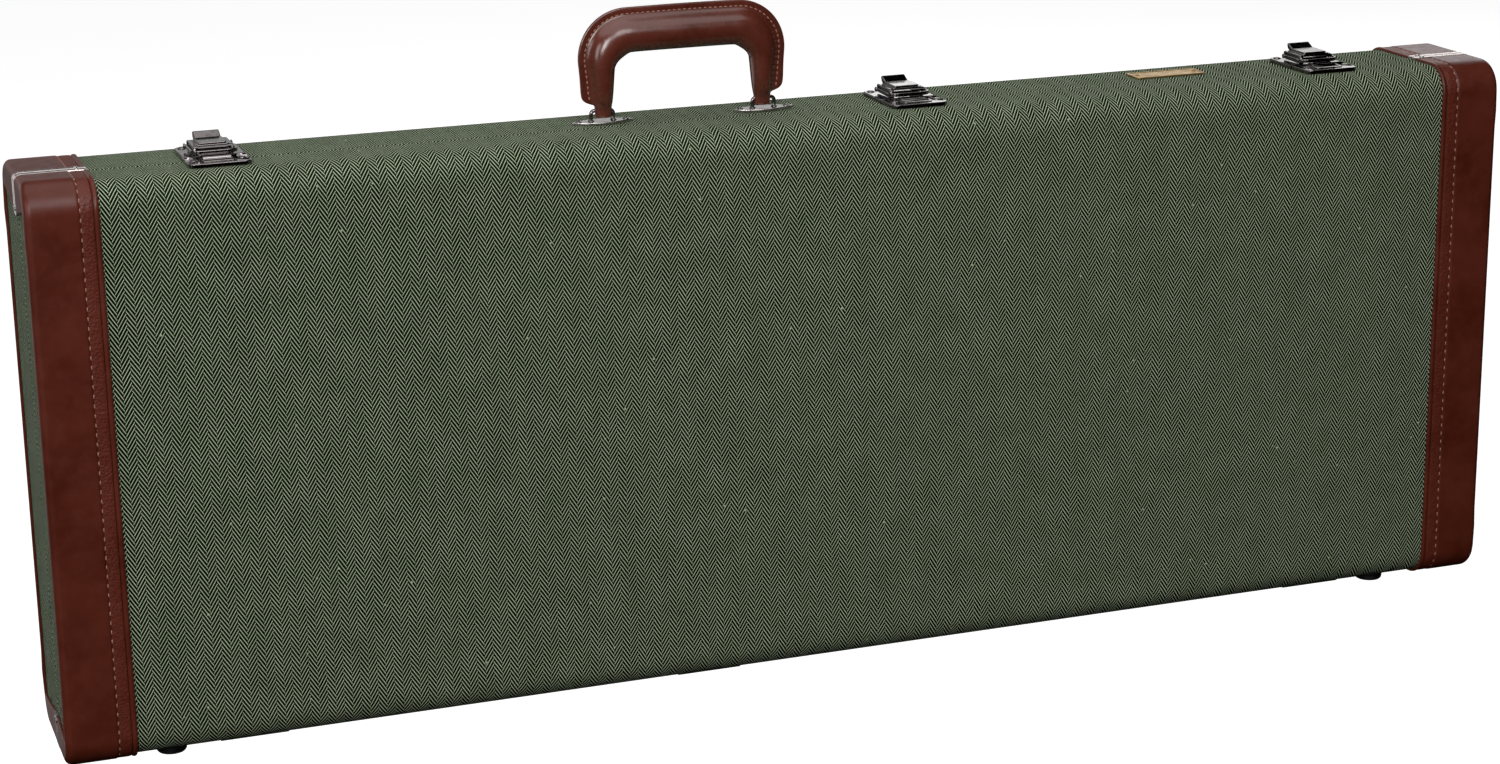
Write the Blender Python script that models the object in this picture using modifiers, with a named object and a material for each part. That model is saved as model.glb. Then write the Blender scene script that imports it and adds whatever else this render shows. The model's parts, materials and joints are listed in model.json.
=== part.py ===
"""Hard case for an electric guitar: tweed over plywood, with leather ends and steel hardware.

Frame: +X along the case, -Y out of the lid's face, +Z up, as the closed case stands on its
feet. The origin is under the middle of the case, level with the bottoms of the feet.
All lengths are metres. Depths are counted in from the case's outer tweed surface.
"""
import math

import bmesh
import bpy
from mathutils import Matrix, Vector

# The closed case, outside the tweed
LENGTH = 1.030
HEIGHT = 0.378
DEPTH = 0.104
LID_DEPTH = 0.043
EDGE_RADIUS = 0.018
END_RADIUS = 0.003
FOOT_HEIGHT = 0.008

# Clearances
GAP = 0.0003
SEAM_GAP = 0.0005
PIVOT_GAP = 0.0003
TINY = 1e-6

# Wall layers
TWEED = 0.0008
PLYWOOD = 0.005
LINING = 0.003
LINING_CORNER = 0.0005
TONGUE = 0.002
TONGUE_REACH = 0.0045
TONGUE_WIDTH = 0.020

# Leather ends and the metal strips on the rims
LEATHER_WIDTH = 0.0435
LEATHER_PROUD = 0.002
LEATHER_TURN = 0.004
FLAP_OUTER = 0.016
FLAP_INNER = 0.023
STRIP_WIDTH = 0.0052
STRIP_PROUD = 0.0021
STRIP_LEG = 0.024

# Hardware places along the case
LATCH_X = (-0.392, 0.080, 0.394)
HINGE_X = (-0.393, -0.078, 0.390)
FOOT_X = 0.446
FOOT_FROM_FRONT = (0.030, 0.078)
HANDLE_X = -0.0765
HANDLE_SPAN = 0.113
HANDLE_FROM_FRONT = 0.055
BADGE_X = 0.2845
BADGE_FROM_FRONT = 0.062

# Hinges
HINGE_LENGTH = 0.045
HINGE_LEAF = 0.0245
HINGE_PLATE = 0.002
HINGE_DROP = 0.003
KNUCKLE_RADIUS = 0.0024
HINGE_PIN_RADIUS = 0.0011

# Latches, measured back from the seam and up from the case's top
LATCH_HALF_WIDTH = 0.020
LATCH_PLATE = 0.002
LEVER_HALF_WIDTH = 0.013
LEVER_WALL = 0.0015
LEVER_ROOF = 0.0010
LEVER_PIVOT = (0.0025, 0.0062)
LEVER_NOSE_RADIUS = 0.0031
BAIL_PIVOT = (0.0205, 0.0062)
BAIL_BAR = 0.002
BAIL_REACH = 0.0265
STUB_RADIUS = 0.0008
PIN_RADIUS = 0.0012

# Handle
HANDLE_PIVOT_HEIGHT = 0.009
GRIP_HEIGHT = 0.060
GRIP_RADIUS = 0.0122
GRIP_CORNER = 0.022

# Inside of the base
BLOCK_TOP_FROM_FRONT = 0.051
WALL_INSET = TWEED + GAP + PLYWOOD
BOX_WALL = 0.004
BOX_X = (0.060, 0.250)
BOX_HEIGHT = 0.112
CRADLE_X = (0.262, 0.332)

# Places that follow from the sizes above
FRONT_Y = -DEPTH / 2
REAR_Y = DEPTH / 2
SEAM_Y = FRONT_Y + LID_DEPTH
BOTTOM_Z = FOOT_HEIGHT
TOP_Z = BOTTOM_Z + HEIGHT
MIDDLE_Z = BOTTOM_Z + HEIGHT / 2
END_X = LENGTH / 2
BORDER_X = END_X - LEATHER_WIDTH
LID, BASE = -1, 1


# ---------------------------------------------------------------- scene and materials

def clear_scene():
    """Remove every object, so that the model starts from an empty scene."""
    for item in list(bpy.data.objects):
        bpy.data.objects.remove(item)


def new_collection(name):
    """A collection in the scene for the case's pieces."""
    collection = bpy.data.collections.new(name)
    bpy.context.scene.collection.children.link(collection)
    return collection


def new_material(name, color, roughness, metallic=0.0):
    """A Principled material with one colour."""
    material = bpy.data.materials.new(name)
    material.use_nodes = True
    shader = material.node_tree.nodes["Principled BSDF"]
    shader.inputs["Base Color"].default_value = (*color, 1.0)
    shader.inputs["Roughness"].default_value = roughness
    shader.inputs["Metallic"].default_value = metallic
    material.diffuse_color = (*color, 1.0)
    return material


clear_scene()
CASE = new_collection("guitar_case")

COLORS = {
    "tweed": ((0.10, 0.15, 0.075), 0.9, 0.0),
    "leather": ((0.095, 0.022, 0.012), 0.38, 0.0),
    "grip": ((0.090, 0.020, 0.011), 0.35, 0.0),
    "plywood": ((0.42, 0.28, 0.15), 0.7, 0.0),
    "plush": ((0.05, 0.012, 0.010), 0.95, 0.0),
    "trim": ((0.62, 0.60, 0.58), 0.3, 1.0),
    "nickel": ((0.68, 0.65, 0.62), 0.2, 1.0),
    "black_nickel": ((0.10, 0.09, 0.095), 0.2, 1.0),
    "brass": ((0.60, 0.42, 0.16), 0.3, 1.0),
}


# ---------------------------------------------------------------- making shapes

def add_piece(name, mesh, location=(0.0, 0.0, 0.0)):
    """Put a mesh in the case's collection as a named object."""
    piece = bpy.data.objects.new(name, mesh)
    piece.location = location
    CASE.objects.link(piece)
    return piece


def piece_from_bmesh(name, bm):
    """A named object from a finished bmesh."""
    bmesh.ops.recalc_face_normals(bm, faces=bm.faces)
    mesh = bpy.data.meshes.new(name)
    bm.to_mesh(mesh)
    bm.free()
    return add_piece(name, mesh)


def applied_mesh(piece):
    """The piece's mesh with its modifiers applied and its seams welded."""
    graph = bpy.context.evaluated_depsgraph_get()
    mesh = bpy.data.meshes.new_from_object(piece.evaluated_get(graph))
    bm = bmesh.new()
    bm.from_mesh(mesh)
    bmesh.ops.remove_doubles(bm, verts=bm.verts, dist=TINY)
    bm.to_mesh(mesh)
    bm.free()
    return mesh


def combine(piece, others, operation):
    """Join the other pieces to this one, or cut them out of it, and remove them."""
    for other in others:
        modifier = piece.modifiers.new(operation, "BOOLEAN")
        modifier.operation = operation
        modifier.solver = "EXACT"
        modifier.object = other
    piece.data = applied_mesh(piece)
    piece.modifiers.clear()
    for other in others:
        bpy.data.objects.remove(other)
    return piece


def box(name, low, high, rounding=0.0):
    """A box between two corners, with its edges rounded if asked."""
    bm = bmesh.new()
    bmesh.ops.create_cube(bm, size=1.0)
    size = Vector(high) - Vector(low)
    middle = (Vector(high) + Vector(low)) / 2
    bmesh.ops.scale(bm, vec=size, verts=bm.verts)
    bmesh.ops.translate(bm, vec=middle, verts=bm.verts)
    if rounding:
        bmesh.ops.bevel(bm, geom=bm.edges, offset=rounding, segments=2, profile=0.5,
                        affect="EDGES")
    return piece_from_bmesh(name, bm)


def rod(name, radius, x_low, x_high, y, z, segments=16):
    """A round rod along X."""
    bm = bmesh.new()
    turn = Matrix.Rotation(math.pi / 2, 4, "Y")
    place = Matrix.Translation(((x_low + x_high) / 2, y, z)) @ turn
    bmesh.ops.create_cone(bm, cap_ends=True, segments=segments, radius1=radius,
                          radius2=radius, depth=x_high - x_low, matrix=place)
    return piece_from_bmesh(name, bm)


def turned(name, profile, steps):
    """A solid turned about Z from a profile of (radius, height) points, top to bottom."""
    mesh = bpy.data.meshes.new(name)
    points = [(radius, 0.0, height) for radius, height in profile]
    mesh.from_pydata(points, [(i, i + 1) for i in range(len(points) - 1)], [])
    piece = add_piece(name, mesh)
    screw = piece.modifiers.new("turn", "SCREW")
    screw.axis = "Z"
    screw.steps = steps
    screw.render_steps = steps
    screw.use_merge_vertices = True
    screw.merge_threshold = 0.00005
    piece.data = applied_mesh(piece)
    piece.modifiers.clear()
    return piece


def arc(center, radius, start_deg, end_deg, count):
    """Points along an arc, both ends included."""
    points = []
    for i in range(count + 1):
        angle = math.radians(start_deg + (end_deg - start_deg) * i / count)
        points.append((center[0] + radius * math.cos(angle),
                       center[1] + radius * math.sin(angle)))
    return points


PLANES = {
    "X": Matrix(((0, 0, 1, 0), (1, 0, 0, 0), (0, 1, 0, 0), (0, 0, 0, 1))),
    "Y": Matrix(((1, 0, 0, 0), (0, 0, -1, 0), (0, 1, 0, 0), (0, 0, 0, 1))),
    "Z": Matrix.Identity(4),
}


def slab(name, outline, axis, low, high):
    """A flat outline given thickness along an axis, between two places on that axis.

    The outline's points are (y, z) for axis X, (x, z) for axis Y and (x, y) for axis Z.
    """
    data = bpy.data.curves.new(name, "CURVE")
    data.dimensions = "2D"
    data.fill_mode = "BOTH"
    data.extrude = (high - low) / 2
    spline = data.splines.new("POLY")
    spline.points.add(len(outline) - 1)
    for point, (u, v) in zip(spline.points, outline):
        point.co = (u, v, 0.0, 1.0)
    spline.use_cyclic_u = True
    curve = add_piece(name + "_outline", data)
    shift = Vector((0.0, 0.0, 0.0))
    shift["XYZ".index(axis)] = (low + high) / 2
    curve.matrix_world = Matrix.Translation(shift) @ PLANES[axis]
    bpy.context.view_layer.update()
    mesh = applied_mesh(curve)
    mesh.transform(curve.matrix_world)
    bpy.data.objects.remove(curve)
    bm = bmesh.new()
    bm.from_mesh(mesh)
    bmesh.ops.recalc_face_normals(bm, faces=bm.faces)
    bm.to_mesh(mesh)
    bm.free()
    return add_piece(name, mesh)


def finish(piece, finish_name, axis=None, smooth_deg=35.0):
    """Give the piece its material and its parent, the empty on its joint's axis."""
    color, roughness, metallic = COLORS[finish_name]
    piece.data.materials.clear()
    piece.data.materials.append(new_material(piece.name, color, roughness, metallic))
    piece.data.shade_smooth()
    piece.data.set_sharp_from_angle(angle=math.radians(smooth_deg))
    if axis:
        bpy.context.view_layer.update()
        piece.parent = axis
        piece.matrix_parent_inverse = axis.matrix_world.inverted()
    return piece


def axis_empty(name, location, parent=None):
    """An empty on a joint's axis, which runs along X."""
    empty = bpy.data.objects.new(name, None)
    empty.empty_display_size = 0.02
    CASE.objects.link(empty)
    empty.location = location
    bpy.context.view_layer.update()
    if parent:
        empty.parent = parent
        empty.matrix_parent_inverse = parent.matrix_world.inverted()
    return empty


def place_copy(name, source, location):
    """Another object that shares a piece's mesh shape, at its own place."""
    return add_piece(name, source.data.copy(), location)


# ---------------------------------------------------------------- the two halves

def half_block(name, side, inset, seam_y, x_low, x_high, round_low, round_high, radius=None):
    """A closed block of the lid (side -1) or the base (side +1).

    Its outer faces lie `inset` inside the tweed, and its flat inner face is at seam_y.
    The two long outer edges have the case's large rounding, and the ends a small one.
    """
    radius = radius or EDGE_RADIUS - inset
    outer_y = side * (DEPTH / 2 - inset)
    low = Vector((x_low, min(outer_y, seam_y), BOTTOM_Z + inset))
    high = Vector((x_high, max(outer_y, seam_y), TOP_Z - inset))
    bm = bmesh.new()
    bmesh.ops.create_cube(bm, size=1.0)
    bmesh.ops.scale(bm, vec=high - low, verts=bm.verts)
    bmesh.ops.translate(bm, vec=(high + low) / 2, verts=bm.verts)

    def lies_at(edge, index, value):
        return all(abs(vert.co[index] - value) < TINY for vert in edge.verts)

    long_edges = [edge for edge in bm.edges if lies_at(edge, 1, outer_y)
                  and abs(edge.verts[0].co.x - edge.verts[1].co.x) > TINY]
    bmesh.ops.bevel(bm, geom=long_edges, offset=radius, segments=7,
                    profile=0.5, affect="EDGES")
    for x, is_round in ((x_low, round_low), (x_high, round_high)):
        if is_round:
            rim = [edge for edge in bm.edges
                   if lies_at(edge, 0, x) and not lies_at(edge, 1, seam_y)]
            bmesh.ops.bevel(bm, geom=rim, offset=END_RADIUS - inset, segments=2,
                            profile=0.5, affect="EDGES")
    return piece_from_bmesh(name, bm)


def half_shell(name, side, outer, inner, rim_y, inner_radius=None):
    """A hollow half, open at the seam, between two depths inside the tweed surface."""
    reach = END_X - outer
    is_round = outer < END_RADIUS
    shell = half_block(name, side, outer, rim_y, -reach, reach, is_round, is_round)
    reach = END_X - inner
    is_round = inner < END_RADIUS
    past_rim = rim_y - side * 0.01
    cavity = half_block("cavity", side, inner, past_rim, -reach, reach, is_round, is_round,
                        inner_radius)
    return combine(shell, [cavity], "DIFFERENCE")


def rim(side):
    """The half's rim plane, half of the seam's gap away from the seam."""
    return SEAM_Y + side * SEAM_GAP / 2


def make_walls(lid_axis):
    """Tweed, plywood and lining of both halves, and the tongue inside the base's rim."""
    for side, half, axis in ((LID, "lid", lid_axis), (BASE, "base", None)):
        tweed = half_shell(half + "_covering", side, 0.0, TWEED, rim(side))
        finish(tweed, "tweed", axis)
        shell = half_shell(half + "_shell", side, TWEED + GAP, WALL_INSET, rim(side))
        finish(shell, "plywood", axis)

    lid_outer = WALL_INSET + GAP
    lid_rim = SEAM_Y - TONGUE_REACH - 0.0015
    lining = half_shell("lid_lining", LID, lid_outer, lid_outer + LINING, lid_rim)
    finish(lining, "plush", lid_axis)

    base_outer = lid_outer + TONGUE + GAP
    base_rim = SEAM_Y + 0.0015
    lining = half_shell("base_lining", BASE, base_outer, base_outer + LINING, base_rim,
                        LINING_CORNER)
    finish(lining, "plush")

    def frame_block(name, inset, y_low, y_high):
        low = (-END_X + inset, y_low, BOTTOM_Z + inset)
        high = (END_X - inset, y_high, TOP_Z - inset)
        return box(name, low, high)

    y_low = SEAM_Y - TONGUE_REACH
    y_high = y_low + TONGUE_WIDTH
    tongue = frame_block("rim_tongue", lid_outer, y_low, y_high)
    hole = frame_block("hole", lid_outer + TONGUE, y_low - 0.01, y_high + 0.01)
    finish(combine(tongue, [hole], "DIFFERENCE"), "plywood")


# ---------------------------------------------------------------- leather ends and strips

def leather_end(name, side, end, axis):
    """One half's leather at one end: a band round three sides, turned onto the end face."""
    edge_y = SEAM_Y + side * (SEAM_GAP / 2 + STRIP_WIDTH + GAP)
    outer_x = end * (END_X + LEATHER_PROUD)
    border_x = end * BORDER_X
    band = half_block(name, side, -LEATHER_PROUD, edge_y, min(outer_x, border_x),
                      max(outer_x, border_x), end < 0, end > 0)
    inner_x = end * (END_X + GAP)
    past_x = end * (BORDER_X - 0.01)
    body = half_block("body", side, -GAP, edge_y - side * 0.01, min(inner_x, past_x),
                      max(inner_x, past_x), end < 0, end > 0)
    turn_y = side * (DEPTH / 2 - LEATHER_TURN)
    past_y = edge_y - side * 0.01
    window = slab("window", [(turn_y, BOTTOM_Z + FLAP_OUTER), (past_y, BOTTOM_Z + FLAP_INNER),
                             (past_y, TOP_Z - FLAP_INNER), (turn_y, TOP_Z - FLAP_OUTER)],
                  "X", min(end * END_X * 0.98, outer_x * 1.02),
                  max(end * END_X * 0.98, outer_x * 1.02))
    finish(combine(band, [body, window], "DIFFERENCE"), "leather", axis)


def corner_strip(name, side, end, level, axis):
    """An L of metal strip on a rim, over one corner (level +1 at the top, -1 below)."""
    inner = GAP
    outer = STRIP_PROUD
    corner = 0.003
    flat_x = BORDER_X + GAP
    path = [(flat_x, inner), (END_X + inner, inner), (END_X + inner, -STRIP_LEG),
            (END_X + outer, -STRIP_LEG)]
    path += arc((END_X + outer - corner, outer - corner), corner, 0, 90, 4)
    path += [(flat_x, outer)]
    face_z = TOP_Z if level > 0 else BOTTOM_Z
    outline = [(end * x, face_z + level * height) for x, height in path]
    near = rim(side)
    far = near + side * STRIP_WIDTH
    strip = slab(name, outline, "Y", min(near, far), max(near, far))
    finish(strip, "trim", axis)


def make_ends(lid_axis):
    """Leather and metal strips at both ends of both halves."""
    for end, place in ((-1, "left"), (1, "right")):
        for side, half, axis in ((LID, "lid", lid_axis), (BASE, "base", None)):
            leather_end(f"{half}_leather_{place}", side, end, axis)
            for level, height in ((1, "top"), (-1, "bottom")):
                corner_strip(f"{half}_strip_{height}_{place}", side, end, level, axis)


# ---------------------------------------------------------------- hinges and feet

def hinge_leaf(name, side):
    """One leaf with its knuckles, about a hinge axis through the origin.

    The lid's leaf has the middle knuckle and the base's leaf has the outer two.
    """
    third = HINGE_LENGTH / 3
    if side == LID:
        spans = [(-third / 2 + GAP / 2, third / 2 - GAP / 2)]
    else:
        spans = [(-HINGE_LENGTH / 2, -third / 2 - GAP / 2),
                 (third / 2 + GAP / 2, HINGE_LENGTH / 2)]
    plate_top = HINGE_DROP - GAP
    plate_low = plate_top - HINGE_PLATE
    near = KNUCKLE_RADIUS + 2 * GAP
    far = HINGE_LEAF
    y_low, y_high = sorted((side * near, side * far))
    half_length = HINGE_LENGTH / 2
    leaf = box(name, (-half_length, y_low, plate_low), (half_length, y_high, plate_top))
    joined = []
    bores = []
    for x_low, x_high in spans:
        joined.append(rod("knuckle", KNUCKLE_RADIUS, x_low, x_high, 0.0, 0.0))
        y_low, y_high = sorted((side * 0.0004, side * (near + 0.001)))
        web = box("web", (x_low, y_low, plate_low), (x_high, y_high, plate_top - 0.0006))
        joined.append(web)
        bores.append(rod("bore", HINGE_PIN_RADIUS + PIVOT_GAP, x_low - 0.001,
                         x_high + 0.001, 0.0, 0.0))
    combine(leaf, joined, "UNION")
    return combine(leaf, bores, "DIFFERENCE")


def make_hinges(lid_axis):
    """Three butt hinges under the seam, each two leaves and a pin."""
    lid_leaf = hinge_leaf("lid_leaf", LID)
    base_leaf = hinge_leaf("base_leaf", BASE)
    half_length = HINGE_LENGTH / 2
    pin = rod("pin", HINGE_PIN_RADIUS, -half_length, half_length, 0.0, 0.0)
    for number, x in enumerate(HINGE_X, 1):
        place = (x, SEAM_Y, BOTTOM_Z - HINGE_DROP)
        leaf = place_copy(f"hinge_{number}_lid_leaf", lid_leaf, place)
        finish(leaf, "black_nickel", lid_axis)
        finish(place_copy(f"hinge_{number}_base_leaf", base_leaf, place), "black_nickel")
        finish(place_copy(f"hinge_{number}_pin", pin, place), "nickel")
    for source in (lid_leaf, base_leaf, pin):
        bpy.data.objects.remove(source)


def make_feet(lid_axis):
    """Four round metal feet under the case, two on each half."""
    top = -GAP
    rim_height = top - 0.0012
    profile = [(0.0, top), (0.0115, top), (0.0115, rim_height), (0.0105, rim_height - 0.0008),
               (0.0100, -FOOT_HEIGHT + 0.0022), (0.0085, -FOOT_HEIGHT), (0.0, -FOOT_HEIGHT)]
    foot = turned("foot", profile, 20)
    for end, place in ((-1, "left"), (1, "right")):
        for from_front, half, axis in zip(FOOT_FROM_FRONT, ("lid", "base"), (lid_axis, None)):
            location = (end * FOOT_X, FRONT_Y + from_front, BOTTOM_Z)
            finish(place_copy(f"{half}_foot_{place}", foot, location), "black_nickel", axis)
    bpy.data.objects.remove(foot)


# ---------------------------------------------------------------- latches

def rivet(name, x, y, z, radius, height):
    """A low domed rivet head, sunk a little into what it stands on."""
    dome = turned(name, [(0.0, height), (radius * 0.6, height * 0.8), (radius, 0.0),
                         (radius, -0.0005), (0.0, -0.0005)], 10)
    dome.data.transform(Matrix.Translation((x, y, z)))
    return dome


def latch_catch():
    """The plate on the lid, with the low lip that the bail's bar lies over."""
    near, far = -0.0004, -0.024
    corner = 0.004
    side_x = LATCH_HALF_WIDTH
    outline = [(side_x, near), (-side_x, near)]
    outline += arc((-side_x + corner, far + corner), corner, 180, 270, 3)
    outline += arc((side_x - corner, far + corner), corner, 270, 360, 3)
    top = GAP + LATCH_PLATE
    plate = slab("catch", outline, "Z", GAP, top)
    lip = slab("lip", [(-0.0105, top - 0.0005), (-0.0095, 0.0038), (-0.008, 0.0044),
                       (-0.004, 0.0044), (-0.003, top - 0.0005)], "X", -0.009, 0.009)
    heads = [rivet("head", x, -0.014, top, 0.0024, 0.001) for x in (-0.0155, 0.0155)]
    return combine(plate, [lip] + heads, "UNION")


def latch_plate():
    """The riveted plate on the base, under the lever, with two lobes behind it."""
    near, far = 0.0004, 0.0270
    side_x = LATCH_HALF_WIDTH
    lobe = 0.0048
    outline = [(-side_x, near), (side_x, near)]
    outline += arc((side_x - lobe, far + 0.003), lobe, 0, 180, 6)
    outline += [(side_x - 2 * lobe - 0.001, far), (-side_x + 2 * lobe + 0.001, far)]
    outline += arc((-side_x + lobe, far + 0.003), lobe, 0, 180, 6)
    top = GAP + LATCH_PLATE
    plate = slab("plate", outline, "Z", GAP, top)
    heads = [rivet("head", side * (side_x - lobe), far + 0.002, top, 0.0024, 0.001)
             for side in (-1, 1)]
    return combine(plate, heads, "UNION")


def latch_pivot():
    """Two ears that stand on the plate, and the pin through them that the lever turns on."""
    pivot_y, pivot_z = LEVER_PIVOT
    foot_z = GAP + LATCH_PLATE
    ear_radius = LEVER_NOSE_RADIUS - LEVER_ROOF - PIVOT_GAP
    outline = arc((pivot_y, pivot_z), ear_radius, 0, 180, 6)
    outline += [(pivot_y - 0.0011, foot_z), (pivot_y + 0.0030, foot_z)]
    ears = []
    for side in (-1, 1):
        x_low, x_high = sorted((side * 0.0094, side * 0.0110))
        ears.append(slab("ear", outline, "X", x_low, x_high))
    pin_reach = LEVER_HALF_WIDTH - GAP
    pin = rod("pin", PIN_RADIUS, -pin_reach, pin_reach, pivot_y, pivot_z, 12)
    return combine(pin, ears, "UNION")


def latch_lever():
    """The lever: a channel with a raised panel on top and a thumb tab at its free end."""
    pivot_y, pivot_z = LEVER_PIVOT
    nose = LEVER_NOSE_RADIUS
    top = pivot_z + nose
    end_y = 0.0245
    outline = arc((pivot_y, pivot_z), nose, 270, 90, 8)
    outline += [(end_y - 0.001, top), (end_y, top - 0.001), (end_y - 0.001, 0.0036)]
    half = LEVER_HALF_WIDTH
    lever = slab("lever", outline, "X", -half, half)
    panel = box("panel", (-0.0085, 0.0015, top - 0.0004), (0.0085, 0.0195, top + 0.0015))
    tab = slab("tab", [(0.0190, top - 0.0004), (0.0238, top - 0.0004), (0.0275, 0.0128),
                       (0.0262, 0.0137), (0.0225, top + 0.0012), (0.0190, top + 0.0006)],
               "X", -0.0080, 0.0080)
    combine(lever, [panel, tab], "UNION")
    inside = half - LEVER_WALL
    channel = box("channel", (-inside, -0.010, -0.010), (inside, 0.040, top - LEVER_ROOF))
    bores = [rod("bore", PIN_RADIUS + PIVOT_GAP, -0.020, 0.020, pivot_y, pivot_z, 12),
             rod("bore", STUB_RADIUS + PIVOT_GAP, -0.020, 0.020, *BAIL_PIVOT, 12)]
    return combine(lever, [channel] + bores, "DIFFERENCE")


def latch_bail():
    """The U of flat bar round the lever, with stubs that turn in the lever's sides."""
    pivot_y, pivot_z = BAIL_PIVOT
    inner = LEVER_HALF_WIDTH + 0.0004
    outer = inner + 0.0017
    front = pivot_y - BAIL_REACH
    rear = pivot_y + 0.0016
    outer_corner, inner_corner = 0.0065, 0.0050
    outline = arc((outer - outer_corner, front + outer_corner), outer_corner, 0, -90, 5)
    outline += arc((-outer + outer_corner, front + outer_corner), outer_corner, 270, 180, 5)
    outline += [(-outer, rear), (-inner, rear)]
    inner_front = front + BAIL_BAR
    outline += arc((-inner + inner_corner, inner_front + inner_corner), inner_corner, 180, 270, 5)
    outline += arc((inner - inner_corner, inner_front + inner_corner), inner_corner, -90, 0, 5)
    outline += [(inner, rear), (outer, rear)]
    bail = slab("bail", outline, "Z", pivot_z - BAIL_BAR / 2, pivot_z + BAIL_BAR / 2)
    stubs = []
    for side in (-1, 1):
        x_low, x_high = sorted((side * (inner - 0.0022), side * (inner + 0.0008)))
        stubs.append(rod("stub", STUB_RADIUS, x_low, x_high, pivot_y, pivot_z, 12))
    return combine(bail, stubs, "UNION")


def make_latches(lid_axis):
    """Three latches: a catch on the lid, and a plate, pivot, lever and bail on the base."""
    catch, plate, pivot = latch_catch(), latch_plate(), latch_pivot()
    lever, bail = latch_lever(), latch_bail()
    for number, x in enumerate(LATCH_X, 1):
        place = (x, SEAM_Y, TOP_Z)
        lever_axis = axis_empty(f"latch_{number}_lever_axis",
                                (x, SEAM_Y + LEVER_PIVOT[0], TOP_Z + LEVER_PIVOT[1]))
        bail_axis = axis_empty(f"latch_{number}_bail_axis",
                               (x, SEAM_Y + BAIL_PIVOT[0], TOP_Z + BAIL_PIVOT[1]), lever_axis)
        finish(place_copy(f"latch_{number}_catch", catch, place), "black_nickel", lid_axis)
        finish(place_copy(f"latch_{number}_plate", plate, place), "black_nickel")
        finish(place_copy(f"latch_{number}_pivot", pivot, place), "black_nickel")
        finish(place_copy(f"latch_{number}_lever", lever, place), "black_nickel", lever_axis)
        finish(place_copy(f"latch_{number}_bail", bail, place), "black_nickel", bail_axis)
    for source in (catch, plate, pivot, lever, bail):
        bpy.data.objects.remove(source)


# ---------------------------------------------------------------- handle and badge

def handle_plate():
    """A pointed oval plate with two posts and the pin between them that the grip turns on."""
    half_length, half_width = 0.022, 0.0075
    radius = (half_length ** 2 + half_width ** 2) / (2 * half_width)
    sweep = math.degrees(math.asin(half_length * 0.97 / radius))
    outline = arc((0.0, half_width - radius), radius, 90 - sweep, 90 + sweep, 10)
    outline += arc((0.0, radius - half_width), radius, 270 - sweep, 270 + sweep, 10)
    top = GAP + 0.0018
    plate = slab("plate", outline, "Z", GAP, top)
    post = arc((0.0, HANDLE_PIVOT_HEIGHT), 0.0029, 0, 180, 8)
    post += [(-0.0029, top - 0.0005), (0.0029, top - 0.0005)]
    joined = []
    for side in (-1, 1):
        x_low, x_high = sorted((side * 0.0069, side * 0.0085))
        joined.append(slab("post", post, "X", x_low, x_high))
        joined.append(rivet("head", side * 0.0165, 0.0, top, 0.0019, 0.0009))
    joined.append(rod("pin", PIN_RADIUS, -0.0095, 0.0095, 0.0, HANDLE_PIVOT_HEIGHT, 12))
    return combine(plate, joined, "UNION")


def handle_grip():
    """The padded grip: one tube bent into a U, slim where the pins pass through."""
    half = HANDLE_SPAN / 2
    leg = [(-half, 0.0042, 0.0036), (-half, 0.0056, 0.0050), (-half, 0.009, 0.0054),
           (-half, 0.0125, 0.0060), (-half - 0.0005, 0.016, 0.0072),
           (-half - 0.0010, 0.022, 0.0088), (-half - 0.0014, 0.028, 0.0100),
           (-half - 0.0015, 0.034, 0.0108)]
    corner_x = -half - 0.0015 + GRIP_CORNER
    bend = arc((corner_x, GRIP_HEIGHT - GRIP_CORNER), GRIP_CORNER, 180, 90, 7)
    growth = (GRIP_RADIUS - 0.0110) / (len(bend) - 1)
    bend = [(x, z, 0.0110 + growth * i) for i, (x, z) in enumerate(bend)]
    left = leg + bend
    points = left + [(0.0, GRIP_HEIGHT, GRIP_RADIUS)] + [(-x, z, r) for x, z, r in left[::-1]]
    data = bpy.data.curves.new("grip", "CURVE")
    data.dimensions = "3D"
    data.bevel_depth = 1.0
    data.bevel_resolution = 4
    data.use_fill_caps = True
    spline = data.splines.new("POLY")
    spline.points.add(len(points) - 1)
    for point, (x, z, radius) in zip(spline.points, points):
        point.co = (x, 0.0, z, 1.0)
        point.radius = radius
    curve = add_piece("grip_curve", data)
    grip = add_piece("handle_grip", applied_mesh(curve))
    bpy.data.objects.remove(curve)
    bores = [rod("bore", PIN_RADIUS + PIVOT_GAP, x - 0.012, x + 0.012, 0.0,
                 HANDLE_PIVOT_HEIGHT, 12) for x in (-half, half)]
    combine(grip, bores, "DIFFERENCE")
    grip.location = (HANDLE_X, FRONT_Y + HANDLE_FROM_FRONT, TOP_Z)
    return grip


def make_handle():
    """The grip between two plates, turning about their pins, which lie along X."""
    y = FRONT_Y + HANDLE_FROM_FRONT
    axis = axis_empty("handle_axis", (HANDLE_X, y, TOP_Z + HANDLE_PIVOT_HEIGHT))
    finish(handle_grip(), "grip", axis, 60.0)
    plate = handle_plate()
    for end, side in ((-1, "left"), (1, "right")):
        place = (HANDLE_X + end * HANDLE_SPAN / 2, y, TOP_Z)
        finish(place_copy(f"handle_plate_{side}", plate, place), "nickel")
    bpy.data.objects.remove(plate)


def make_badge():
    """A blank brass plate held by two nails."""
    half_length, half_width, thickness = 0.0265, 0.0100, 0.0009
    y = FRONT_Y + BADGE_FROM_FRONT
    low = (BADGE_X - half_length, y - half_width, TOP_Z + GAP)
    high = (BADGE_X + half_length, y + half_width, TOP_Z + GAP + thickness)
    badge = box("badge", low, high, 0.0003)
    heads = [rivet("head", BADGE_X + end * 0.0235, y, TOP_Z + GAP + thickness, 0.0014, 0.0008)
             for end in (-1, 1)]
    finish(combine(badge, heads, "UNION"), "brass")


# ---------------------------------------------------------------- inside the base

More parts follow.
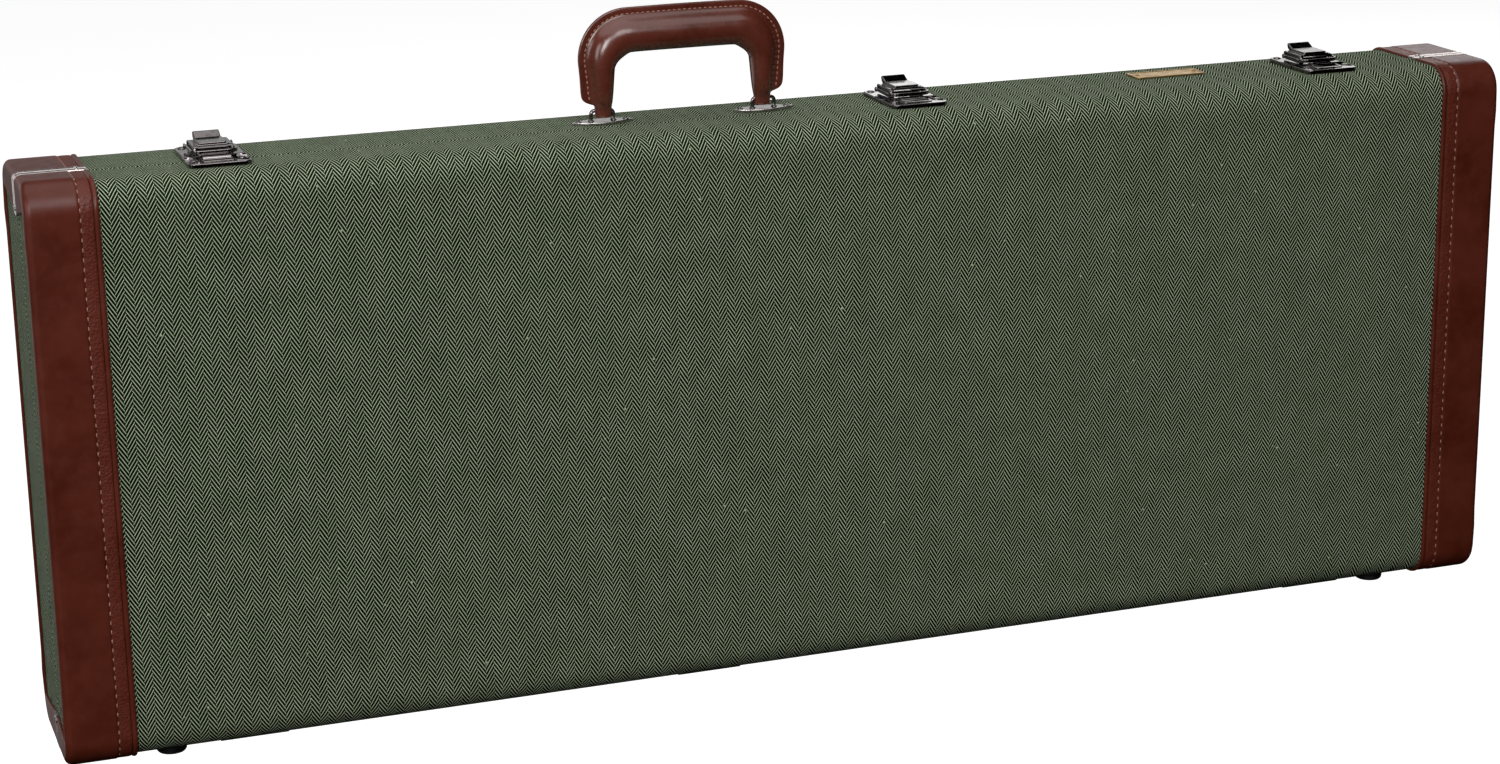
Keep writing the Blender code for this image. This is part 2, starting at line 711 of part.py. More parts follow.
def make_padding():
    """Plush blocks that hold the instrument: body corners, waist, shoulders and neck."""
    wall = WALL_INSET + GAP + TONGUE + GAP + LINING + GAP
    floor_y = REAR_Y - wall
    top_y = FRONT_Y + BLOCK_TOP_FROM_FRONT
    low_z = BOTTOM_Z + wall
    left_x = -END_X + wall

    lower_bout = (-0.330, MIDDLE_Z)
    tail = [(-0.372, low_z), (left_x, low_z), (left_x, MIDDLE_Z - 0.062)]
    tail += arc(lower_bout, 0.172, 199, 255, 8)
    upper_bout = (-0.215, MIDDLE_Z)
    shoulder = [(-0.040, low_z), (-0.165, low_z)]
    shoulder += arc(upper_bout, 0.165, 285, 346, 8)
    shoulder += [(-0.040, MIDDLE_Z - 0.040)]
    waist_low, waist_high, rise = -0.338, -0.190, 0.048
    waist = [(waist_high, low_z), (waist_low, low_z)]
    for i in range(13):
        part = i / 12
        swell = (1 - math.cos(2 * math.pi * part)) / 2
        waist.append((waist_low + (waist_high - waist_low) * part, low_z + 0.006 + rise * swell))

    for name, outline in (("tail_block", tail), ("waist_block", waist),
                          ("shoulder_block", shoulder)):
        finish(slab(name + "_lower", outline, "Y", top_y, floor_y), "plush")
        mirrored = [(x, 2 * MIDDLE_Z - z) for x, z in outline]
        finish(slab(name + "_upper", mirrored, "Y", top_y, floor_y), "plush")

    half_width, groove, depth = 0.065, 0.032, 0.027
    cradle = [(floor_y, MIDDLE_Z - half_width), (top_y, MIDDLE_Z - half_width)]
    cradle += [(top_y, MIDDLE_Z - groove)]
    bottom = arc((0.0, 0.0), 1.0, -90, 90, 10)
    cradle += [(top_y + 0.012 + (depth - 0.012) * u, MIDDLE_Z + groove * v) for u, v in bottom]
    cradle += [(top_y, MIDDLE_Z + groove)]
    cradle += [(top_y, MIDDLE_Z + half_width), (floor_y, MIDDLE_Z + half_width)]
    finish(slab("neck_cradle", cradle, "X", *CRADLE_X), "plush")
    return floor_y, low_z


def make_accessory_box(floor_y, low_z):
    """An open box beside the neck, with a lid that turns up on its lower edge."""
    box_top_y = FRONT_Y + 0.0585
    hinge_wall = 0.0055
    x_low, x_high = BOX_X
    z_high = low_z + BOX_HEIGHT
    walls = box("accessory_box", (x_low, box_top_y, low_z), (x_high, floor_y, z_high))
    hollow = box("hollow", (x_low + BOX_WALL, box_top_y - 0.01, low_z + hinge_wall),
                 (x_high - BOX_WALL, floor_y - 0.002, z_high - BOX_WALL))
    finish(combine(walls, [hollow], "DIFFERENCE"), "plush")
    hinge_z = low_z + hinge_wall
    axis = axis_empty("accessory_axis", ((x_low + x_high) / 2, box_top_y - GAP, hinge_z))
    lid = box("accessory_lid", (x_low, box_top_y - GAP - 0.0045, hinge_z),
              (x_high, box_top_y - GAP, z_high), 0.0008)
    finish(lid, "plush", axis)


def build_case():
    """Make every piece of the case."""
    lid_axis = axis_empty("lid_axis", (0.0, SEAM_Y, BOTTOM_Z - HINGE_DROP))
    make_walls(lid_axis)
    make_ends(lid_axis)
    make_hinges(lid_axis)
    make_feet(lid_axis)
    make_latches(lid_axis)
    make_handle()
    make_badge()
    floor_y, low_z = make_padding()
    make_accessory_box(floor_y, low_z)


build_case()
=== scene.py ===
"""Looks of the guitar case: tweed, leather ends, latches, handle and padded inside.

Everything is placed from the CAD frame's own boxes and joints, in metres: +X along the
case, -Y out of the lid's face, +Z up. "Side" is -1 for the lid and +1 for the base, and
"end" is -1 for the left end and +1 for the right.
"""
import json
import math

import bmesh
import bpy
import numpy as np
from mathutils import Matrix, Vector, noise


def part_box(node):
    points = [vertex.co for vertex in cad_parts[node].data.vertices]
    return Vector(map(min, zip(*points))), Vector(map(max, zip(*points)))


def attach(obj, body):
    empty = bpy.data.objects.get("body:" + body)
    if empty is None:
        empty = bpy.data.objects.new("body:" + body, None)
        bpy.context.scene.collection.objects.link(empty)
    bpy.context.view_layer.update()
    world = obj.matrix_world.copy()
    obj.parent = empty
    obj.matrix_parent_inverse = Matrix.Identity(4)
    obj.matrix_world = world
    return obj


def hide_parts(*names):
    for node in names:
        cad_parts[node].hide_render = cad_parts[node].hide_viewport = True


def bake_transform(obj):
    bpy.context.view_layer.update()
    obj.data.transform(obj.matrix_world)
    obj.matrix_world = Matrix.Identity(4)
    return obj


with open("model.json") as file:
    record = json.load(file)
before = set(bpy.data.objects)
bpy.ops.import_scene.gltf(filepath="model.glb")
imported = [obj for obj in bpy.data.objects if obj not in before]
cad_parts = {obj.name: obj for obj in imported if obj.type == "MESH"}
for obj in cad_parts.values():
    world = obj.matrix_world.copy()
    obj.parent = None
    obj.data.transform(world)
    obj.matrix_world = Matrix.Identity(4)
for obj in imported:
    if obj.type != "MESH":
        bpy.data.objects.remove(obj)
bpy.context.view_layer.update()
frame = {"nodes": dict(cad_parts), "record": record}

MM = 0.001
LID, BASE = -1, 1
LEFT, RIGHT = -1, 1

lid_low, lid_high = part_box("lid_covering")
base_low, base_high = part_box("base_covering")
FRONT_Y, REAR_Y = lid_low.y, base_high.y
SEAM_Y = (lid_high.y + base_low.y) / 2
BOTTOM_Z, TOP_Z = lid_low.z, lid_high.z
MIDDLE_Z = (BOTTOM_Z + TOP_Z) / 2
END_X = lid_high.x
EDGE_RADIUS = 18 * MM
END_RADIUS = 3 * MM
# Edges sharper than this stay sharp in shading, and hard pieces are rounded above the second
SHARP_DEG, SOFTENED_DEG = 40.0, 35.0
WELD_WITHIN = 0.01 * MM
CLOTH_FRAMES = 20
STAGE_LEVEL, STAGE_REACH = -0.145, 9
BORDER_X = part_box("lid_leather_right")[0].x
STRIP_FAR = {LID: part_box("lid_strip_top_left")[0].y, BASE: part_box("base_strip_top_left")[1].y}
OUTER_Y = {LID: FRONT_Y, BASE: REAR_Y}
HALF = {LID: "lid", BASE: "base"}
JOINTS = {joint["name"]: Vector(joint["pos_m"])
          for joint in frame["record"]["behaviour"]["joints"]}


# ---------------------------------------------------------------- materials

class Paint:
    """A material's node tree, with short calls for the nodes that it needs."""

    def __init__(self, name):
        self.material = bpy.data.materials.new(name)
        self.material.use_nodes = True
        self.tree = self.material.node_tree
        self.shader = self.tree.nodes["Principled BSDF"]

    def node(self, kind, **settings):
        node = self.tree.nodes.new(kind)
        for key, value in settings.items():
            setattr(node, key, value)
        return node

    def put(self, socket, value):
        """Link a socket into an input, or set its value."""
        if isinstance(value, bpy.types.NodeSocket):
            self.tree.links.new(value, socket)
        else:
            socket.default_value = value

    def math(self, operation, *values):
        node = self.node("ShaderNodeMath", operation=operation)
        for socket, value in zip(node.inputs, values):
            self.put(socket, value)
        return node.outputs[0]

    def add(self, *values):
        return self.math("ADD", *values)

    def mul(self, *values):
        return self.math("MULTIPLY", *values)

    def from_half(self, value):
        return self.math("SUBTRACT", value, 0.5)

    def zigzag(self, value):
        """0 in the middle of each unit of the value, and 0.5 at its ends."""
        return self.math("ABSOLUTE", self.from_half(self.math("FRACT", value)))

    def parts(self, kind, value):
        """The outputs of a separating node: "XYZ" or "Color"."""
        node = self.node("ShaderNodeSeparate" + kind)
        self.put(node.inputs[0], value)
        return node.outputs

    def coords(self, scale=(1, 1, 1), uv=None):
        """The object's own coordinates, or a UV map's, scaled."""
        if uv:
            source = self.node("ShaderNodeUVMap", uv_map=uv).outputs["UV"]
        else:
            source = self.node("ShaderNodeTexCoord").outputs["Object"]
        mapping = self.node("ShaderNodeMapping")
        self.put(mapping.inputs["Vector"], source)
        mapping.inputs["Scale"].default_value = scale
        return mapping.outputs[0]

    def noise(self, vector, scale, detail=2.0, rough=0.5, color=False):
        node = self.node("ShaderNodeTexNoise")
        self.put(node.inputs["Vector"], vector)
        node.inputs["Scale"].default_value = scale
        node.inputs["Detail"].default_value = detail
        node.inputs["Roughness"].default_value = rough
        return node.outputs["Color" if color else "Fac"]

    def voronoi(self, vector, scale):
        node = self.node("ShaderNodeTexVoronoi")
        self.put(node.inputs["Vector"], vector)
        node.inputs["Scale"].default_value = scale
        return node.outputs["Distance"]

    def remap(self, value, low, high, to_low=0.0, to_high=1.0, smooth=False):
        node = self.node("ShaderNodeMapRange",
                         interpolation_type="SMOOTHSTEP" if smooth else "LINEAR")
        for socket, number in zip(node.inputs, (value, low, high, to_low, to_high)):
            self.put(socket, number)
        return node.outputs[0]

    def mix(self, factor, first, second, blend="MIX"):
        node = self.node("ShaderNodeMix", data_type="RGBA", blend_type=blend)
        self.put(node.inputs[0], factor)
        for socket, value in ((node.inputs[6], first), (node.inputs[7], second)):
            if isinstance(value, (tuple, list)):
                value = (*value[:3], 1.0)
            self.put(socket, value)
        return node.outputs[2]

    def bump(self, height, distance, strength=1.0, under=None):
        node = self.node("ShaderNodeBump")
        self.put(node.inputs["Height"], height)
        node.inputs["Distance"].default_value = distance
        node.inputs["Strength"].default_value = strength
        if under:
            self.put(node.inputs["Normal"], under)
        return node.outputs[0]

    def finish(self, color=None, roughness=None, normal=None, **constants):
        """Link the varying channels, and set the constant ones on the shader's sockets."""
        for key, value in (("Base Color", color), ("Roughness", roughness), ("Normal", normal)):
            if value is not None:
                if isinstance(value, tuple):
                    value = (*value[:3], 1.0)
                self.put(self.shader.inputs[key], value)
        for key, value in constants.items():
            self.shader.inputs[key.replace("_", " ")].default_value = value
        return self.material


def tweed_material():
    """Herringbone: pale green and near-black twill whose slant turns every 5.6 mm.

    The ribs of neighbouring columns are offset by half a rib where they meet."""
    p = Paint("tweed")
    column, rise, run = 5.6 * MM, 3.65 * MM, 2.3 * MM
    where = p.coords(uv="weave")
    wander = p.noise(where, 14.0, 2.0, 0.5, color=True)
    jitter = p.noise(where, 420.0, 1.0, 0.5, color=True)
    place, drift, shake = p.parts("XYZ", where), p.parts("Color", wander), p.parts("Color", jitter)

    def bent(axis, far, near):
        shifted = p.math("MULTIPLY_ADD", p.from_half(drift[axis]), far, place[axis])
        return p.math("MULTIPLY_ADD", p.from_half(shake[axis]), near, shifted)

    u = bent(0, 3.2 * MM, 0.20 * MM)
    v = bent(1, 2.8 * MM, 0.20 * MM)
    slant = p.math("DIVIDE", p.math("PINGPONG", u, column), run)
    turned = p.mul(p.math("FLOOR", p.math("DIVIDE", u, column)), 0.5)
    phase = p.add(p.add(p.math("DIVIDE", v, rise), slant), turned)
    pale = p.remap(p.zigzag(phase), 0.165, 0.085, smooth=True)
    weft = p.zigzag(p.math("DIVIDE", v, rise / 4))
    warp = p.zigzag(p.math("DIVIDE", u, run / 4))
    thread = p.mix(pale, warp, weft)
    rounding = p.remap(thread, 0.5, 0.15, 0.45, 1.0, smooth=True)
    fuzz = p.noise(where, 2600.0, 3.0, 0.7)
    tone = p.noise(where, 55.0, 3.0, 0.6)
    pale_yarn = p.mix(p.remap(tone, 0.35, 0.65), (0.51, 0.63, 0.415), (0.61, 0.73, 0.51))
    dark_yarn = p.mix(p.remap(tone, 0.35, 0.65), (0.0010, 0.0025, 0.0006), (0.003, 0.005, 0.002))
    yarn = p.mix(pale, dark_yarn, pale_yarn)
    yarn = p.mix(p.remap(fuzz, 0.3, 0.7, 0.0, 0.04), yarn, (0.10, 0.125, 0.07))
    # Painted shade: the yarn is darkened towards near-black where each thread rounds down at its edges
    yarn_with_painted_shade = p.mix(p.remap(rounding, 0.45, 1.0, 0.32, 0.0), yarn, (0.004, 0.006, 0.002))
    speck = p.node("ShaderNodeTexVoronoi")
    p.put(speck.inputs["Vector"], where)
    speck.inputs["Scale"].default_value = 60.0
    chosen = p.math("GREATER_THAN", p.parts("Color", speck.outputs["Color"])[0], 0.45)
    fleck = p.mul(p.remap(speck.outputs["Distance"], 0.060, 0.030, smooth=True), chosen)
    color = p.mix(p.mul(fleck, 0.85), yarn_with_painted_shade, (0.52, 0.58, 0.38))
    height = p.add(p.mul(rounding, p.remap(pale, 0, 1, 0.7, 1.0)),
                    p.mul(fuzz, 0.5))
    height = p.add(height, p.mul(fleck, 0.6))
    return p.finish(color, 0.88, p.bump(height, 0.00035, 0.9), Sheen_Weight=0.03,
                    Sheen_Roughness=0.45, Sheen_Tint=(0.75, 0.80, 0.62, 1.0),
                    Specular_IOR_Level=0.05)


def leather_material(name, color, grain_band=False, gloss=0.38, grain=0.5, coat=(0.06, 0.30),
                     specular=0.28):
    """Smooth reddish-brown leather with fine grain, and a pebbled band if asked."""
    p = Paint(name)
    where = p.coords()
    broad = p.noise(where, 22.0, 3.0, 0.55)
    cloud = p.noise(where, 140.0, 3.0, 0.6)
    fine = p.voronoi(where, 2300.0)
    creases = p.noise(where, 900.0, 4.0, 0.6)
    dark = tuple(c * 0.80 for c in color)
    light = tuple(c * 1.18 + 0.004 for c in color)
    base = p.mix(p.remap(broad, 0.35, 0.65), dark, light)
    base = p.mix(p.remap(cloud, 0.4, 0.8, 0.0, 0.35), base, tuple(c * 1.45 + 0.006 for c in color))
    height = p.add(p.mul(fine, 0.18), p.mul(creases, 0.30))
    rough = p.remap(cloud, 0.3, 0.7, gloss - 0.05, gloss + 0.07)
    normal = p.bump(height, 0.00010, grain)
    if grain_band:
        across = p.parts("XYZ", p.coords(uv="weave"))[0]
        band = p.mul(p.remap(across, 3.3 * MM, 3.9 * MM),
                      p.remap(across, 12.0 * MM, 11.4 * MM))
        pebbles = p.voronoi(where, 620.0)
        creased = p.add(pebbles, p.mul(p.noise(where, 330.0, 3.0), 1.3))
        normal = p.bump(p.mul(creased, band), 0.00035, 0.9, normal)
        # Painted highlight: the band's grain is painted paler and greyer where the pebble relief rises
        base = p.mix(p.mul(band, p.remap(pebbles, 0.25, 0.6, 0.0, 0.5)), base,
                     tuple(c * 1.5 + 0.002 for c in color))
        rough = p.add(rough, p.mul(band, 0.10))
    return p.finish(base, rough, normal, Coat_Weight=coat[0], Coat_Roughness=coat[1],
                    Specular_IOR_Level=specular)


def metal_material(name, color, roughness, scratches=0.5, tarnish=None):
    """Plated metal with faint smudges, fine scratches and, if asked, darker spots."""
    p = Paint(name)
    where = p.coords()
    smudge = p.noise(where, 260.0, 3.0, 0.6)
    lines = p.noise(p.coords((180.0, 2600.0, 2600.0)), 1.0, 2.0, 0.6)
    dust = p.noise(where, 1900.0, 2.0, 0.6)
    shade = p.mix(p.remap(smudge, 0.35, 0.7), color, tuple(c * 0.82 for c in color))
    if tarnish:
        shade = p.mix(p.remap(smudge, 0.52, 0.75, 0.0, 0.8), shade, tarnish)
    rough = p.add(p.remap(smudge, 0.3, 0.7, roughness * 0.75, roughness * 1.35),
                   p.remap(dust, 0.5, 0.8, 0.0, 0.06))
    return p.finish(shade, rough, p.bump(lines, 0.00004, scratches), Metallic=1.0)


def plush_material():
    """Short-pile plush: dark wine red, soft, with brushed patches."""
    p = Paint("plush")
    where = p.coords()
    pile = p.noise(where, 1500.0, 2.0, 0.7)
    tufts = p.voronoi(where, 1400.0)
    brushed = p.noise(where, 26.0, 3.0, 0.6)
    color = p.mix(p.remap(brushed, 0.35, 0.65), (0.088, 0.015, 0.016), (0.120, 0.022, 0.022))
    color = p.mix(p.remap(pile, 0.35, 0.7, 0.0, 0.6), color, (0.030, 0.004, 0.005))
    height = p.add(p.mul(pile, 1.0), p.mul(tufts, -0.8))
    height = p.add(height, p.mul(brushed, 1.2))
    return p.finish(color, 0.95, p.bump(height, 0.0009, 0.8), Sheen_Weight=0.8,
                    Sheen_Roughness=0.35, Sheen_Tint=(0.85, 0.30, 0.30, 1.0),
                    Specular_IOR_Level=0.15)


def plywood_material():
    """Birch plywood: thin veneers seen on edge, and faint grain along the case."""
    p = Paint("plywood")
    where = p.coords((14.0, 300.0, 300.0))
    grain = p.noise(where, 1.0, 4.0, 0.6)
    pores = p.noise(p.coords((220.0, 1400.0, 1400.0)), 1.0, 2.0, 0.6)
    color = p.mix(p.remap(grain, 0.3, 0.7), (0.48, 0.33, 0.19), (0.33, 0.20, 0.10))
    color = p.mix(p.remap(pores, 0.55, 0.8, 0.0, 0.5), color, (0.20, 0.11, 0.05))
    height = p.add(grain, p.mul(pores, 0.5))
    return p.finish(color, p.remap(grain, 0.3, 0.7, 0.55, 0.75), p.bump(height, 0.0002, 0.4))


def thread_material(name, color):
    """Waxed thread, twisted along its length."""
    p = Paint(name)
    twist = p.noise(p.coords(), 2600.0, 2.0, 0.6)
    shade = p.mix(p.remap(twist, 0.3, 0.7), tuple(c * 0.6 for c in color), color)
    return p.finish(shade, 0.6, p.bump(twist, 0.0002, 0.6))


def floor_material():
    """Plain pale studio floor."""
    p = Paint("floor")
    grain = p.noise(p.coords(), 6.0, 2.0)
    return p.finish(p.mix(grain, (0.33, 0.33, 0.33), (0.36, 0.36, 0.36)), 0.9,
                    Emission_Color=(1.0, 1.0, 1.0, 1.0), Emission_Strength=0.93)


TWEED = tweed_material()
LEATHER = leather_material("leather", (0.082, 0.0125, 0.0050), grain_band=True)
GRIP = leather_material("grip_leather", (0.090, 0.0175, 0.0090), gloss=0.27, grain=0.25,
                        coat=(0.55, 0.20), specular=0.5)
NICKEL = metal_material("nickel", (0.56, 0.53, 0.51), 0.16, scratches=0.2)
BLACK_NICKEL = metal_material("black_nickel", (0.20, 0.18, 0.18), 0.12, scratches=0.0,
                              tarnish=(0.12, 0.10, 0.10))
FOOT_METAL = metal_material("foot_metal", (0.40, 0.37, 0.37), 0.36, scratches=0.1)
TRIM = metal_material("trim_metal", (0.80, 0.72, 0.69), 0.24, scratches=0.08)
BRASS = metal_material("brass", (0.40, 0.25, 0.070), 0.40, scratches=0.2,
                       tarnish=(0.27, 0.16, 0.045))
PLUSH = plush_material()
PLYWOOD = plywood_material()
STITCH = thread_material("stitching", (0.40, 0.21, 0.155))
GRIP_STITCH = thread_material("grip_stitching", (0.40, 0.18, 0.13))


# ---------------------------------------------------------------- making shapes

def mm(*values):
    """Lengths given in millimetres, as a tuple in metres."""
    return tuple(value * MM for value in values)


def linked(name, data):
    """A new object with this data, in the scene."""
    thing = bpy.data.objects.new(name, data)
    bpy.context.scene.collection.objects.link(thing)
    return thing


def shaded(piece, smooth_deg=SHARP_DEG):
    """Smooth shading, except at edges sharper than this."""
    piece.data.shade_smooth()
    piece.data.set_sharp_from_angle(angle=math.radians(smooth_deg))
    return piece


def piece_from(name, bm):
    """The finished bmesh as an object, smooth except at sharp edges."""
    mesh = bpy.data.meshes.new(name)
    bm.to_mesh(mesh)
    bm.free()
    return shaded(linked(name, mesh))


def grid_faces(rows, count, first=0):
    """The quads between closed rows of `count` points each, row after row."""
    return [(first + row * count + i, first + row * count + (i + 1) % count,
             first + (row + 1) * count + (i + 1) % count, first + (row + 1) * count + i)
            for row in range(rows - 1) for i in range(count)]


def new_piece(name, verts, faces, uvs=None, smooth_deg=SHARP_DEG):
    """A mesh object from points and faces, smooth except at sharp edges."""
    mesh = bpy.data.meshes.new(name)
    mesh.from_pydata([tuple(v) for v in verts], [], faces)
    if uvs:
        layer = mesh.uv_layers.new(name="weave")
        for polygon in mesh.polygons:
            for loop, uv in zip(polygon.loop_indices, uvs[polygon.index]):
                layer.data[loop].uv = uv
    bm = bmesh.new()
    bm.from_mesh(mesh)
    bmesh.ops.recalc_face_normals(bm, faces=bm.faces)
    bm.to_mesh(mesh)
    bm.free()
    return shaded(linked(name, mesh), smooth_deg)


def weighted(piece):
    """Let big flat faces keep their own normals where they meet small rounded ones."""
    modifier = piece.modifiers.new("normals", "WEIGHTED_NORMAL")
    modifier.keep_sharp = True
    return piece


def loft(name, rings, lengths=None, smooth_deg=SHARP_DEG):
    """A closed skin through closed rings of points, capped at both ends.

    Its UV map runs along a ring (from the first point) and from ring to ring, in metres;
    `lengths` gives other along-the-ring places.
    """
    count = len(rings[0])
    verts = [point for ring in rings for point in ring]
    faces, uvs = grid_faces(len(rings), count), []
    along = [0.0]
    for near, far in zip(rings, rings[1:]):
        along.append(along[-1] + (Vector(far[count // 2]) - Vector(near[count // 2])).length)
    if lengths is None:
        lengths = [0.0]
        for a, b in zip(rings[0], rings[0][1:]):
            lengths.append(lengths[-1] + (Vector(b) - Vector(a)).length)
    lengths = list(lengths) + [lengths[-1] + MM]
    for row in range(len(rings) - 1):
        for i in range(count):
            uvs.append(((lengths[i], along[row]), (lengths[i + 1], along[row]),
                        (lengths[i + 1], along[row + 1]), (lengths[i], along[row + 1])))
    last = (len(rings) - 1) * count
    for start in (0, last):
        faces.append(tuple(range(start, start + count)))
        uvs.append(tuple((0.0, 0.0) for _ in range(count)))
    return new_piece(name, verts, faces, uvs, smooth_deg)


def lathe(name, profile, center, steps=32, axis="Z"):
    """A solid turned about an axis through `center`, from (radius, height) points.

    The first and last points lie on the axis.
    """
    verts = []
    rows = profile[1:-1]
    for radius, height in rows:
        for k in range(steps):
            angle = 2 * math.pi * k / steps
            verts.append((radius * math.cos(angle), radius * math.sin(angle), height))
    faces = grid_faces(len(rows), steps)
    for (_, height), start in ((profile[0], 0), (profile[-1], (len(rows) - 1) * steps)):
        verts.append((0.0, 0.0, height))
        tip = len(verts) - 1
        faces += [(start + k, start + (k + 1) % steps, tip) for k in range(steps)]
    turn = {"Z": Matrix.Identity(4), "X": Matrix.Rotation(math.pi / 2, 4, "Y"),
            "Y": Matrix.Rotation(-math.pi / 2, 4, "X")}[axis]
    place = Matrix.Translation(center) @ turn
    return new_piece(name, [place @ Vector(v) for v in verts], faces)


def arc(center, radius, start_deg, end_deg, count):
    """Points along an arc, both ends included."""
    angles = [math.radians(start_deg + (end_deg - start_deg) * i / count) for i in range(count + 1)]
    return [(center[0] + radius * math.cos(angle), center[1] + radius * math.sin(angle))
            for angle in angles]


def rounded_bar(half_u, half_v, radius, steps=3):
    """The outline of a small bar's section, a rectangle with round corners, about its middle."""
    return [point for u, v, start in ((1, 1, 0), (-1, 1, 90), (-1, -1, 180), (1, -1, 270))
            for point in arc((u * (half_u - radius), v * (half_v - radius)), radius,
                             start, start + 90, steps)]


def to_space(axis, u, v, w):
    """A point from flat (u, v) and depth w: (y, z) for axis X, (x, z) for Y, (x, y) for Z."""
    return {"X": (w, u, v), "Y": (u, w, v), "Z": (u, v, w)}[axis]


def prism(name, outline, axis, low, high, rounding=0.0, segments=3, rims=(True, True)):
    """A flat outline given thickness, with the edges round its faces rounded."""
    bm = bmesh.new()
    loops = [[bm.verts.new(to_space(axis, u, v, w)) for u, v in outline] for w in (low, high)]
    caps = [bm.faces.new(loop) for loop in loops]
    count = len(outline)
    for i in range(count):
        j = (i + 1) % count
        bm.faces.new((loops[0][i], loops[0][j], loops[1][j], loops[1][i]))
    bmesh.ops.recalc_face_normals(bm, faces=bm.faces)
    if rounding:
        edges = [edge for cap, rim in zip(caps, rims) if rim for edge in cap.edges]
        bmesh.ops.bevel(bm, geom=edges, offset=rounding, segments=segments, profile=0.5,
                        affect="EDGES", clamp_overlap=True)
    return piece_from(name, bm)


def applied(piece):
    """Apply the piece's modifiers."""
    graph = bpy.context.evaluated_depsgraph_get()
    mesh = bpy.data.meshes.new_from_object(piece.evaluated_get(graph))
    piece.modifiers.clear()
    piece.data = mesh
    return piece


def joined(piece, others, operation="UNION"):
    """Boolean the other pieces with this one, and remove them."""
    for other in others:
        modifier = piece.modifiers.new("boolean", "BOOLEAN")
        modifier.operation = operation
        modifier.solver = "EXACT"
        modifier.object = other
    applied(piece)
    for other in others:
        bpy.data.objects.remove(other)
    return shaded(piece)


def merged(name, pieces):
    """Several pieces as one object, without cutting them."""
    bm = bmesh.new()
    for piece in pieces:
        bm.from_mesh(piece.data)
        bpy.data.objects.remove(piece)
    return piece_from(name, bm)


def welded(piece):
    """Join the points that lie together, as the CAD's faces meet."""
    piece.modifiers.new("weld", "WELD").merge_threshold = WELD_WITHIN
    return piece


def smoothed(piece):
    """One level of subdivision."""
    smooth = piece.modifiers.new("smooth", "SUBSURF")
    smooth.levels = smooth.render_levels = 1


def soften(piece, width, segments=2):
    """Round a hard piece's edges."""
    bevel = piece.modifiers.new("edges", "BEVEL")
    bevel.width = width
    bevel.segments = segments
    bevel.limit_method = "ANGLE"
    bevel.angle_limit = math.radians(SOFTENED_DEG)
    bevel.use_clamp_overlap = True
    return weighted(piece)


def dress(piece, material, body, replaces=()):
    """Give a piece its material and its CAD body, and hide the CAD parts that it replaces."""
    piece.data.materials.clear()
    piece.data.materials.append(material)
    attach(piece, body)
    if replaces:
        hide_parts(*replaces)
    return piece


def capsule(start, end, lift, radius, sides=6):
    """Rings of one stitch: a short thread that rises from a hole, runs and dips again."""
    start, end, lift = Vector(start), Vector(end), Vector(lift)
    along = (end - start).normalized()
    side = along.cross(lift).normalized()
    up = side.cross(along)
    rings = []
    for t, height, size in ((0.0, -1.1, 0.35), (0.06, -0.2, 0.85), (0.3, 0.35, 1.0),
                            (0.7, 0.35, 1.0), (0.94, -0.2, 0.85), (1.0, -1.1, 0.35)):
        middle = start.lerp(end, t) + up * (height * radius)
        rings.append([middle + side * (math.cos(2 * math.pi * k / sides) * radius * size)
                      + up * (math.sin(2 * math.pi * k / sides) * radius * size)
                      for k in range(sides)])
    return rings


def stitch_row(name, points, normals, pitch, length, radius, wobble=0.0):
    """One mesh of separate stitches along a line of points with outward normals."""
    verts, faces = [], []
    reach = [0.0]
    for a, b in zip(points, points[1:]):
        reach.append(reach[-1] + (Vector(b) - Vector(a)).length)

    def at(distance):
        i = min(max(np.searchsorted(reach, distance) - 1, 0), len(points) - 2)
        t = (distance - reach[i]) / max(reach[i + 1] - reach[i], 1e-9)
        return Vector(points[i]).lerp(Vector(points[i + 1]), t), \
            Vector(normals[i]).lerp(Vector(normals[i + 1]), t).normalized()

    number = int(reach[-1] / pitch)
    margin = (reach[-1] - number * pitch + pitch - length) / 2
    for k in range(number):
        begin = margin + k * pitch
        (start, up), (end, _) = at(begin), at(begin + length)
        sway = noise.noise(Vector((k * 7.3, reach[-1] * 40, 1.0))) * wobble
        across = (end - start).cross(up).normalized() * sway
        rings = capsule(start - across, end + across, up, radius)
        first, sides = len(verts), len(rings[0])
        verts += [point for ring in rings for point in ring]
        faces += grid_faces(len(rings), sides, first)
        for cap in (first, first + (len(rings) - 1) * sides):
            faces.append(tuple(range(cap, cap + sides)))
    return new_piece(name, verts, faces)


# ---------------------------------------------------------------- camera

def make_camera():
    """The photographer's view: a little left of the case and above it."""
    yaw, pitch, roll = (math.radians(a) for a in (19.65, -15.99, -0.84))
    forward = Vector((math.sin(yaw) * math.cos(pitch), math.cos(yaw) * math.cos(pitch),
                      math.sin(pitch)))
    right = forward.cross(Vector((0, 0, 1))).normalized()
    up = right.cross(forward)
    turned_right = math.cos(roll) * right + math.sin(roll) * up
    turned_up = math.cos(roll) * up - math.sin(roll) * right
    data = bpy.data.cameras.new("camera")
    data.sensor_width = 36.0
    data.lens = 74.66
    data.clip_start, data.clip_end = 0.05, 50.0
    camera = linked("camera", data)
    rotation = Matrix((turned_right, turned_up, -forward)).transposed()
    camera.matrix_world = Matrix.Translation((-0.7225, -1.9301, 0.7858)) @ rotation.to_4x4()
    bpy.context.scene.camera = camera


make_camera()


# ---------------------------------------------------------------- tweed and linings

